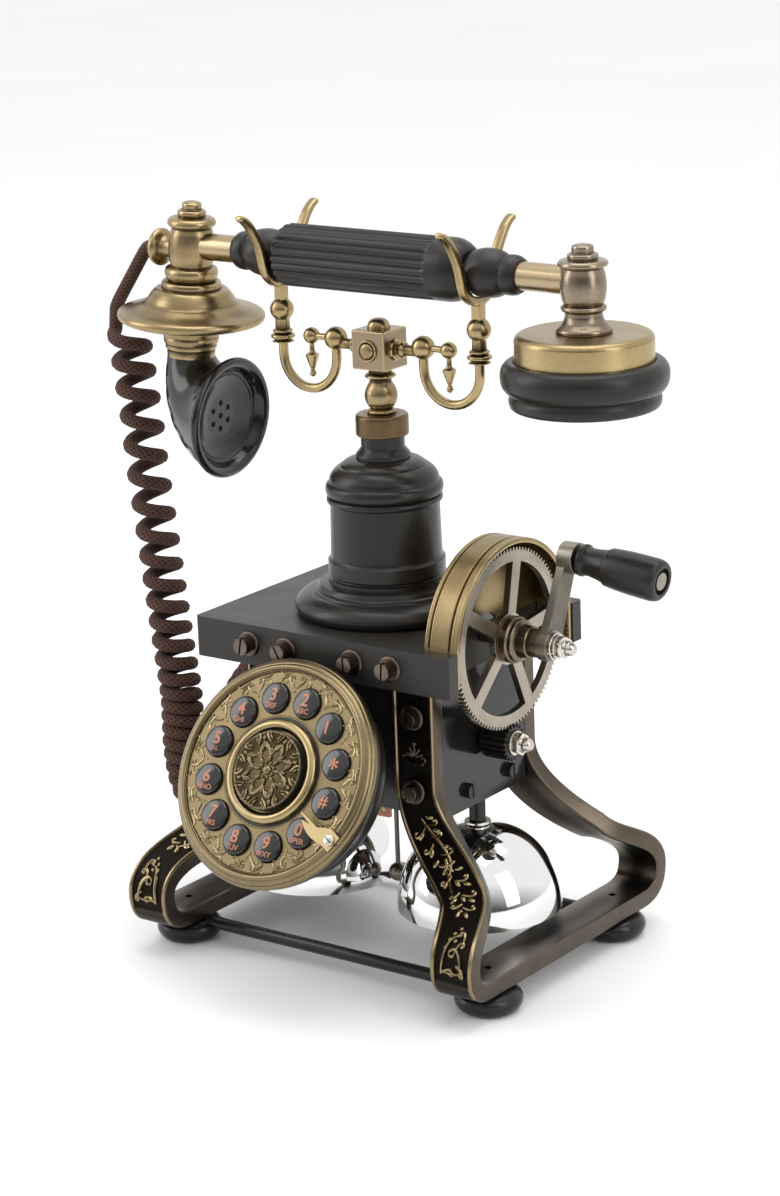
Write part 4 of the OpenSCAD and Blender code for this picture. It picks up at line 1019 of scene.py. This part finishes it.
# %% Spin the bells
gong_angles = [math.radians(84 * k / 28) for k in range(29)]
gong = [(33.9 * math.cos(a), 22 + 35.3 * math.sin(a) ** 0.9) for a in gong_angles if a > 0.02]
gong = [(33.9, 19), (33.9, 22)] + gong + [(2.1, 57.2), (2.1, 55.8)]
gong += [(32.4 * math.cos(a), 22 + 33.8 * math.sin(a) ** 0.9) for a in reversed(gong_angles) if a > 0.02] + [(32.4, 19)]
low_lip = min(v.co.z for v in frame["nodes"]["bell_right"].data.vertices) * 1000
gong = [(r, max(z, low_lip)) for r, z in gong]
for side, node in ((1, "bell_right"), (-1, "bell_left")):
    put_in_place(node.replace("_", " "), node, lathe(gong, (41 * side, 0, 0), steps=128, closed=True),
                 bell_chrome)

# %% [markdown]
# ## The crank
# The crank's boss is turned bronze, its arm is a flat steel bar between two round bosses, and two
# acorn nuts in bright nickel hold the crank and the pinion. The grip is a turned moulding that
# spins on its own spindle.

# %% Turn the crank
boss = [(0, 30), (3, 30), (3, 59.1), (9.2, 59.2)] + soft((9.3, 59.3), (9.5, 59.8), (9.5, 62.6), (9.1, 63.2))
boss += [(8.6, 63.5), (8.6, 64.8)] + soft((8.5, 65), (7.6, 65.5), (6.8, 65.8)) + [(6.6, 66.2), (6.6, 69.9)]
boss += soft((6.6, 70), (6.2, 70.4), (5.7, 70.5)) + [(5.6, 75), (3, 75), (3, 84), (0, 84)]
put_in_place("Crank shaft", "crank_shaft", lathe(boss, (0, 0, 138), (1, 0, 0)), shaft_bronze)
put_in_place("Crank arm", "crank_arm", copied("crank_arm", 0.35, 3), arm_steel)


def acorn_nut(x, z, washer):
    """A washer, a six-sided nut with turned corners and a domed cap, along X."""
    hexagon = [(4.85 * math.cos(k * math.pi / 3), 4.85 * math.sin(k * math.pi / 3)) for k in range(6)]
    nut = rounded(carried([(0, 0, 1.4), (0, 0, 4.4)], 1, section=hexagon, across=(1, 0, 0)), 0.45, 2)
    cap = [(0, 4.2), (3.6, 4.2), (3.3, 4.8), (3, 5)] + soft((2.95, 5.2), (2.95, 6.2), (2.5, 7.6), (1.4, 8.6),
                                                            (0, 8.9))
    shape = joined(lathe(washer), nut, lathe(cap, steps=40))
    return moved(shape, Matrix.Translation((x, 0, z)) @ Matrix.Rotation(math.pi / 2, 4, "Y"))


thin_washer = [(0, 0), (4.8, 0), (5, 0.2), (5, 1.2), (4.7, 1.4), (0, 1.4)]
wide_washer = [(0, -1.6), (5.4, -1.6), (5.6, -1.4), (5.6, -0.2), (5.3, 0), *thin_washer[1:]]
put_in_place("Crank nut", "crank_nut", acorn_nut(81.6, 138, wide_washer), bright_nickel)
put_in_place("Pinion nut", "pinion_nut", acorn_nut(60, 94.6, thin_washer), bright_nickel)
grip = [(2.55, 0), (5.4, 0)] + soft((5.6, 0.1), (6.5, 0.9), (6.5, 2.2), (5.9, 3.2), (5.7, 4.6), (5.9, 7),
                                    (6.4, 10),
                                    (7, 12.6))
grip += [(7.2, 13), (7.7, 13.3)] + soft((7.8, 13.6), (8.2, 18), (8.5, 24), (8.6, 31), (8.5, 34.6),
                                        (7.8, 36.7), (6.6, 37.4))
grip += [(5.4, 37.4), (5.2, 37), (5.2, 35.4), (2.55, 35.4)]
on_spindle = Matrix.Translation((83, 15.13, 170.45)) @ Matrix.Rotation(math.radians(96.5), 4, "Y")
put_in_place("Crank grip", "crank_grip", moved(lathe(grip, closed=True),
                                               on_spindle @ Matrix.Translation((0, 0, 1))),
             moulding)

# %% [markdown]
# ## The cradle
# A square block on a stem carries two bent hooks, and each hook ends in a fork for the handset.
# The rods are carried along smooth lines, and balls, collars and pendants are turned on them. The
# spring that lifts the cradle is a real helix, hidden inside the column.

# %% Turn the block and its stem
block = bmesh.new()
bmesh.ops.create_cube(block, size=16, matrix=Matrix.Translation((0, 0, 250.5)))
rounded(block, 0.7, 3)
for facet in block.faces:
    facet.material_index = 1 if facet.calc_area() > 50 else 0
rosette = [(0, -0.2), (4.5, -0.2), (4.5, 0.3)] + soft((4.5, 0.4), (4.2, 1.0), (3.7, 0.9), (3.4, 0.4))
rosette += soft((3.3, 0.4), (3.0, 1.3), (2.1, 1.85), (1, 2), (0, 2.0))
flange = [(0, -0.2), (4.5, -0.2), (4.5, 0.6), (4.1, 1.1), (3.2, 1.2), (0, 1.2)]
crown = [(0, 258.4), (4.7, 258.4)] + soft((4.7, 258.5), (4.5, 260), (3.6, 261.5), (2, 262.4), (0, 262.6))
stem = [(0, 174), (6, 174), (6, 176), (3, 176), (3, 224.3), (5.9, 224.3)] + soft((5.9, 224.4), (6, 225),
                                                                                 (5.4, 225.6))
stem += [(4.3, 226)] + soft((4.4, 226.2), (6, 228), (6.7, 231.2), (6, 234.4), (4.5, 236.8)) + [(4.3, 238)]
stem += soft((4.5, 238.2), (5.6, 238.4), (6.4, 239.3), (5.6, 240.2), (4.6, 240.6)) + [(4.7, 242),
                                                                                      (4.9, 242.6),
                                                                                      (0, 242.6)]
block = joined(block, lathe(crown, steps=48), lathe(stem), lathe(rosette, (0, -8, 250.5), (0, -1, 0), 48),
               lathe(rosette, (0, 8, 250.5), (0, 1, 0), 48), lathe(flange, (8, 0, 250.5), (1, 0, 0), 48),
               lathe(flange, (-8, 0, 250.5), (-1, 0, 0), 48))
put_in_place("Cradle block", "cradle_block", block, aged_bronze, shaft_bronze)
spring_line = [(4.1 * math.cos(k * 0.35), 4.1 * math.sin(k * 0.35), 162.9 + k * 0.1) for k in range(105)]
put_in_place("Hook spring", "hook_spring", carried(spring_line, 0.5, 8), arm_steel)


# %% Bend the hooks and file the forks
def ball(radius, at):
    """A turned ball."""
    arc = [(radius * math.sin(k * math.pi / 16), -radius * math.cos(k * math.pi / 16)) for k in range(17)]
    return lathe([(0, -radius), *arc[1:-1], (0, radius)], at, steps=48)


hook_line = [(21.5, 0, 250.5), (21.5, 0, 247)] + [
    (34.95 - 13.45 * math.cos(k * math.pi / 16), 0,
     244 - 13.45 * math.sin(k * math.pi / 16)) for k in range(17)]
hook_line += [(48.4, 0, 246.5), (48.4, 0, 248.6)]
neck_turning = [(0, 0), (2.2, 0), (2.2, 1)] + soft((2.4, 1.2), (3.2, 2.2), (3.3, 3.2),
                                                   (2.4, 4)) + [(2.2, 4.4), (2.2, 12), (0, 12)]
pendant = [(0, 235.4)] + soft((0.6, 235.5), (1.4, 236.4), (1.3, 237.3), (0.8, 238.4), (1.2, 239.6))
pendant += [(1.5, 240.2), (2.8, 244.2), (2.8, 244.7), (2.3, 245.0), (1.5, 245.2)] + soft((1.5, 245.3),
                                                                                         (1.3, 246),
                                                                                         (1, 246.6))
pendant += [(1, 250), (0, 250)]
collars = [(0, 248.2), (2.6, 248.2), (3.4, 248.4)] + soft((3.6, 248.5), (4.4, 248.7), (4.4, 249.1),
                                                          (3.4, 249.5), (3.1, 249.9))
collars += soft((3.4, 250), (4.7, 250.4), (5.0, 251.1), (4.7, 251.8), (3.4, 252.2)) + [(3.1, 252.4)]
collars += soft((3.1, 252.6), (3.9, 252.8), (4.2, 253.3), (3.7, 253.8), (3, 254)) + [(2.9, 258.2), (0, 258.2)]
neck = brick((4.2, 4.2, 8.6), (48.4, 0, 268))
hook = joined(carried(hook_line, 2, 16), ball(4.8, (21.5, 0, 252.4)), ball(3.4, (33.8, 0, 252.4)),
              lathe([(0, 0), (1.4, 0), (1.4, 12), (0, 12)], (21.5, 0, 252.4), (1, 0, 0), 24),
              lathe(neck_turning, (9.2, 0, 250.6), (1, 0, 0), 40), lathe(pendant, (33.8, 0, 0), steps=32),
              lathe(collars, (48.4, 0, 0), steps=56), ball(4.9, (48.4, 0, 262)), rounded(neck, 0.3))
put_in_place("Cradle arms", "cradle_arms", mirrored(hook), aged_bronze)
prong = [(48.4, 0, 273.2), (48.4, -2.8, 273.6), (48.4, -5.6, 274.7), (48.4, -8.6, 277.2),
         (48.4, -10.4, 280.4),
         (48.4, -11.5, 284.5), (48.4, -12.6, 288.2), (48.4, -14, 291.2), (48.4, -16.4, 295),
         (48.4, -19.2, 298.8),
         (48.4, -22, 301.3), (48.4, -24.2, 302.5), (48.4, -25.2, 302.9)]
prong_line = smooth_line(prong, 4)
last = len(prong_line) - 1
prong_sizes = [(2.0, 2.0 if i < last * 0.5 else 2.0 - 0.9 * (i / last - 0.5) / 0.5) for i in range(last - 2)]
prong_sizes += [(1.95, 1.1), (1.6, 0.9), (0.8, 0.5)]
flat_round = [(math.copysign(abs(math.cos(a)) ** 0.6, math.cos(a)),
               math.copysign(abs(math.sin(a)) ** 0.6, math.sin(a)))
              for a in (k * math.pi / 10 for k in range(20))]
fork = mirrored(carried(prong_line, prong_sizes, section=flat_round, across=(1, 0, 0)), "Y")
put_in_place("Cradle forks", "cradle_forks", mirrored(fork), aged_bronze)

# %% [markdown]
# ## The handset
# The grip is a black moulding with twenty-two flutes, so its section is a fluted outline carried
# along the handle and eased in at the ends. Turned ends in the same moulding cover the joints, and a
# brass tube runs through them all.

# %% Mould the grip
def fluted(outer, depth, count=22, points=6):
    """A round outline with narrow flutes cut in it."""
    dots = []
    for k in range(count * points):
        share = abs((k / points) % 1 - 0.5) * 2
        r = outer - depth * (1 - share) ** 1.5
        dots.append((r * math.cos(2 * math.pi * k / count / points),
                     r * math.sin(2 * math.pi * k / count / points)))
    return dots


grip_steps = [(-45.6, 10.6, 0.2), (-44.7, 11.6, 0.7), (-43.8, 12.3, 0.95), (-42.8, 12.7, 1.0),
              (-20, 12.7, 1.0),
              (5, 12.7, 1.0), (29, 12.7, 1.0), (30.4, 12.7, 0.8), (31.4, 12.7, 0.35), (31.9, 12.7, 0.02),
              (37.6, 12.7, 0.0), (39.6, 12.4, 0.0), (41.6, 11.6, 0.0), (43.4, 10.5, 0.0), (44.7, 9.4, 0.0),
              (45.6, 7.8, 0.0)]
grip_places = [station((x, 0, 284.8), (1, 0, 0), (0, 1, 0), 1, 1) for x, _, _ in grip_steps]
put_in_place("Handset grip", "handset_grip", lofted(grip_places,
                                                    section=[fluted(r, d) for _, r, d in grip_steps]),
             moulding)
end_turning = [(0, 45.9), (6.6, 45.9)] + soft((6.7, 46), (8, 47), (9, 49), (9.7, 52.4), (9.7, 55.6),
                                              (9.1, 58.8),
                                               (8.1, 61), (7.2, 62.2))
end_turning += [(7.2, 62.6)] + soft((7.3, 62.7), (7.9, 63.4), (7.9, 66), (7.5, 67.6), (6.6, 69)) + [(0, 69)]
ends = joined(lathe(end_turning, (0, 0, 284.8), (1, 0, 0)), lathe(end_turning, (0, 0, 284.8), (-1, 0, 0)))
put_in_place("Handset ends", "handset_ends", ends, moulding)
put_in_place("Handset tube", "handset_tube", lathe([(0, -87.9), (5.6, -87.9), (5.6, 91), (0, 91)],
                                                   (0, 0, 284.8),
                                                   (1, 0, 0), 64), tube_brass)

# %% [markdown]
# ## The mouthpiece
# The mouthpiece leans a little forward. Its upper part is a bronze turning with a wide brim, a
# barrel and a knurled tip, and the cord leaves from a knob on its left. Below, a black horn bends
# forward and ends in a rounded rim around a shallow dish with seven holes. The holes are not cut:
# each is a flat disc of matte near-black, painted shade.

# %% Turn the mouthpiece
at_mouth = Matrix.Translation((-96.3, 0, 255)) @ Matrix.Rotation(math.radians(4), 4,
                                                                 "Y") @ Matrix.Translation((0, 0, -255))
tip = [(0, 303.2), (2.6, 303.2)] + soft((2.8, 303.1), (4, 302.4), (4, 300.4)) + [(4.2, 300)]
tip += soft((4.3, 299.9), (5.7, 299.5), (6, 298.4), (5.7, 297.4)) + [(5.6, 297.1)]
mouth = tip + soft((5.8, 297), (8.8, 296.5), (9.9, 295.4), (10, 294), (9.2, 293.1), (8.3, 292.7))
mouth += [(8.2, 292.3)] + soft((8.3, 292), (9, 290), (9.5, 286.5), (9.6, 283.4), (9.4, 280), (8.7, 277))
mouth += [(8.6, 276.6)] + soft((8.8, 276.4), (10.6, 275.6), (11.1, 273.6), (10.5, 271.4), (9.6, 270.8))
mouth += [(9.6, 270.5)] + soft((10, 270.4), (12, 270.1), (12.5, 268.8), (12.4, 267.7)) + [(12.6, 267.4)]
mouth += soft((12.8, 267.4), (15, 266.9), (17.2, 264.4), (18.8, 261.9), (20, 261)) + [(20.4, 260.9)]
mouth += soft((20.6, 260.8), (24.4, 258.9), (29.2, 257.6), (30.5, 256.6), (30.7, 255.4), (30, 254),
              (28, 253.2))
mouth += [(14, 251.6), (12.3, 251.1)] + soft((12.2, 251), (12.4, 249.4), (12.1, 247.6)) + [(11.4, 247.3)]
mouth += soft((11.3, 247.2), (11.6, 246), (11.3, 244.4)) + [(10.7, 244), (10.7, 242.2), (10.1, 241.6),
                                                            (10, 238.6), (0, 238.6)]
knob = [(0, 0), (3.4, 0)] + soft((3.6, 0), (5.6, 0.4), (7.2, 1.3), (7.8, 2.6), (7.6, 3.7), (6.4, 4.7),
                                 (5, 5.6),
                                 (4.3, 7), (4.1, 9)) + [(4.1, 13), (0, 13)]
mouth = joined(moved(lathe(mouth, steps=112), at_mouth), lathe(knob, (-113.4, 0, 283), (1, 0, 0), 64),
               lathe([(0, -105.3), (4, -105.3), (4, -99.3), (0, -99.3)], (0, 0, 283), (1, 0, 0), 40))
put_in_place("Mouthpiece body", "mouthpiece_body", mouth, aged_bronze)

# %% Bend the horn and set its dish
at_horn = at_mouth @ Matrix.Translation((96.3, 0, 0))


def horn_place(bend, wall):
    """Where a round section of the horn stands, for a bend from 0 at its neck to 1 at its mouth."""
    near = 9.9 * (1 - bend) + 0.2 * bend + wall
    far = 29.9 + 19.7 * bend ** 1.5 - wall
    angle, reach, radius = math.pi / 2 * bend, (near + far) / 2, (far - near) / 2
    out = Vector((-math.cos(angle), 0, -math.sin(angle)))
    middle = Vector((-76.4, 0, 238.6 + 1.4 * bend)) + reach * out
    return station(middle, (math.sin(angle), 0, -math.cos(angle)), (0, 1, 0), radius, radius)


bends = [k / 22 for k in range(23)]
horn = lofted([horn_place(b, 0) for b in bends] + [horn_place(b, 2.2) for b in reversed(bends[6:])], 56)
put_in_place("Mouthpiece horn", "mouthpiece_horn", moved(horn, at_horn), glossy_moulding)
dish = [(0, -7), (9.5, -7), (20.4, -1.2), (20.6, 0), (24.4, 0)]
dish += soft((24.6, 0.1), (25.3, 0.7), (25.4, 1.4), (24.9, 2.3), (23.8, 2.9), (22.6, 2.8), (21.3, 1.9),
             (20.2, 0.4), (19.4, -1.0),
             (18.7, -1.6))
dish += [(18.2, -1.6), (18, -1.3), (17.7, -1.3), (17.5, -1.6)] + soft((17.3, -1.7), (13, -3.1),
                                                                      (8.4, -4.1)) + [(0, -4.1)]
face_out = Matrix.Translation((-76.4, 0, 215)) @ Matrix.Rotation(math.pi / 2, 4, "Y")
# The seven holes are flat discs of matte near-black laid just on the dish: painted shade where holes would be dark.
hole_shade_discs = [lathe([(0, -4.3), (1.25, -4.3), (1.25, -4.06), (0, -4.06)],
               (5.5 * math.cos(a) * (k > 0), 5.5 * math.sin(a) * (k > 0), 0), steps=20)
         for k, a in enumerate([0] + [k * math.pi / 3 for k in range(6)])]
put_in_place("Mouthpiece grille", "mouthpiece_grille",
             moved(joined(lathe(dish), painted(joined(*hole_shade_discs), 1)), at_horn @ face_out), glossy_moulding,
             painted_hole_shade)

# %% [markdown]
# ## The earpiece
# The earpiece mirrors the mouthpiece: a bronze turning on the tube, a satin brass can with a crisp
# shoulder, and a black moulded cap that fits the ear.

# %% Turn the earpiece
ear = [(0, 299.2), (2.8, 299.2)] + soft((3, 299.1), (4.2, 298.5), (4.3, 296.4)) + [(4.5, 296)]
ear += soft((4.7, 295.9), (5.9, 295.5), (6, 294.4), (5.8, 293.7)) + [(6, 293.5)]
ear += soft((6.2, 293.5), (8.8, 293.2), (9.7, 292.2), (9.6, 291.2), (8.6, 290.6), (7.9, 290.4))
ear += [(7.8, 290.1)] + soft((7.9, 289.9), (8.6, 287.6), (9, 284), (8.9, 281), (8.3, 277.8), (7.7, 276.5))
ear += [(7.6, 276.2)] + soft((7.8, 276.1), (8.7, 275.6), (8.9, 274.8), (8.5, 274),
                             (7.5, 273.7)) + [(7.3, 273.3)]
ear += soft((7.3, 273.1), (7.5, 271.2), (8.6, 269.2), (10.4, 267.6), (11, 266.8),
            (11, 265.9)) + [(10.7, 265.5), (0, 265.5)]
put_in_place("Earpiece body", "earpiece_body", lathe(ear, (97, 0, 0)), ear_bronze)
can = [(0, 265.35), (24.4, 265.35)] + soft((24.5, 265.35), (25.7, 264.9), (26.6, 264), (27, 262.8)) + [
    (27, 246.9), (25, 246.9), (25, 262.4), (0, 262.4)]
put_in_place("Earpiece can", "earpiece_can", lathe(can, (97, 0, 0), steps=128), satin_brass)
cap = [(27.05, 246.6), (27.05, 254.2), (27.5, 254.6)] + soft((27.7, 254.8), (29.4, 254.7), (31.2, 253.5),
                                                             (32.4, 251.2),
                                                             (32.6, 248.4), (32.1, 245.6), (30.9, 243.6),
                                                             (29.4, 242.4))
cap += [(29, 242), (29, 241.4)] + soft((29.1, 241.3), (29.5, 240), (29.3, 238), (28.6, 236.8), (27.2, 236.2))
cap += [(24, 236.2)] + soft((23.8, 236.2), (19, 238.6), (13, 241), (3, 242.4)) + [(3, 245), (14, 244.6),
                                                                                  (25, 244.7), (25, 246.6)]
put_in_place("Earpiece cap", "earpiece_cap", lathe(cap, (97, 0, 0), steps=128, closed=True), moulding)

# %% [markdown]
# The cord's lower end goes into the box through a small bronze gland.

# %% Turn the gland
gland = [(0, -2.9), (3.1, -2.9), (3.1, 0.05), (5.8, 0.05)] + soft((5.9, 0.1), (6, 0.6), (6, 1.6), (5.4, 2.3),
                                                                  (4.6, 3))
gland += soft((4.5, 3.2), (4.2, 5), (4, 6.4)) + [(0, 6.5)]
put_in_place("Cord gland", "cord_gland", lathe(gland, (-45.5, 8, 110), (-1, 0, 0), 48), screw_bronze)

# %% [markdown]
# ## The floor and the light
# The telephone stands on a white sweep. Polished metal shows what is around it, so the air of the
# studio is white behind the telephone and overhead, and dim behind the camera. That draws dark
# middles and bright edges on every turned part, and soft boxes at the sides add long highlights.

# %% Set the studio
floor_shape = bmesh.new()
bmesh.ops.create_grid(floor_shape, x_segments=1, y_segments=1, size=6)
floor_mesh = bpy.data.meshes.new("Studio floor")
floor_shape.to_mesh(floor_mesh)
floor_shape.free()
floor = bpy.data.objects.new("Studio_floor", floor_mesh)
bpy.context.collection.objects.link(floor)
floor_paint, floor_tree, floor_shader = new_finish("Studio floor", Roughness=0.6, Specular_IOR_Level=0.2)
floor_tone = cloud(floor_tree, put(floor_tree, "TexCoord").outputs["Object"], 3, 2)
floor_tree.links.new(ramp(floor_tree, floor_tone, (0.3, (0.86, 0.86, 0.86)), (0.7, (0.88, 0.88, 0.88))),
                     floor_shader.inputs["Base Color"])
floor_mesh.materials.append(floor_paint)


def soft_box(name, at, towards, size, power):
    light = bpy.data.lights.new(name, "AREA")
    light.shape, light.size, light.size_y, light.energy = "RECTANGLE", *size, power
    lamp = bpy.data.objects.new(name, light)
    bpy.context.collection.objects.link(lamp)
    lamp.matrix_world = (Matrix.Translation(at)
                         @ (Vector(at) - Vector(towards)).to_track_quat("Z", "Y").to_matrix().to_4x4())
    return lamp


soft_box("Left soft box", (-1.3, -0.9, 0.9), (0, 0, 0.15), (0.7, 1.4), 9)
soft_box("Right soft box", (1.5, -0.2, 0.8), (0, 0, 0.15), (0.6, 1.4), 7)
soft_box("Overhead soft box", (0, 0.2, 1.7), (0, 0, 0.1), (1.3, 1.3), 12)
world = bpy.data.worlds.new("Studio air")
bpy.context.scene.world = world
world.use_nodes = True
air = world.node_tree
sky_way = put(air, "TexCoord").outputs["Generated"]
pale_side = (-0.594, 0.805, 0)
behind = put(air, "VectorMath", {0: sky_way, 1: pale_side}, operation="DOT_PRODUCT").outputs["Value"]
above = put(air, "SeparateXYZ", {0: sky_way}).outputs[2]
share = sums(air, "ADD", sums(air, "MULTIPLY_ADD", behind, 0.5, 0.5), sums(air, "MULTIPLY", above, 0.9),
             clamp=True)
air.links.new(ramp(air, share, (0.1, 0.10), (0.68, 0.95)), air.nodes["Background"].inputs["Color"])
air.nodes["Background"].inputs["Strength"].default_value = 1.14
bpy.context.scene.view_settings.view_transform = "Standard"
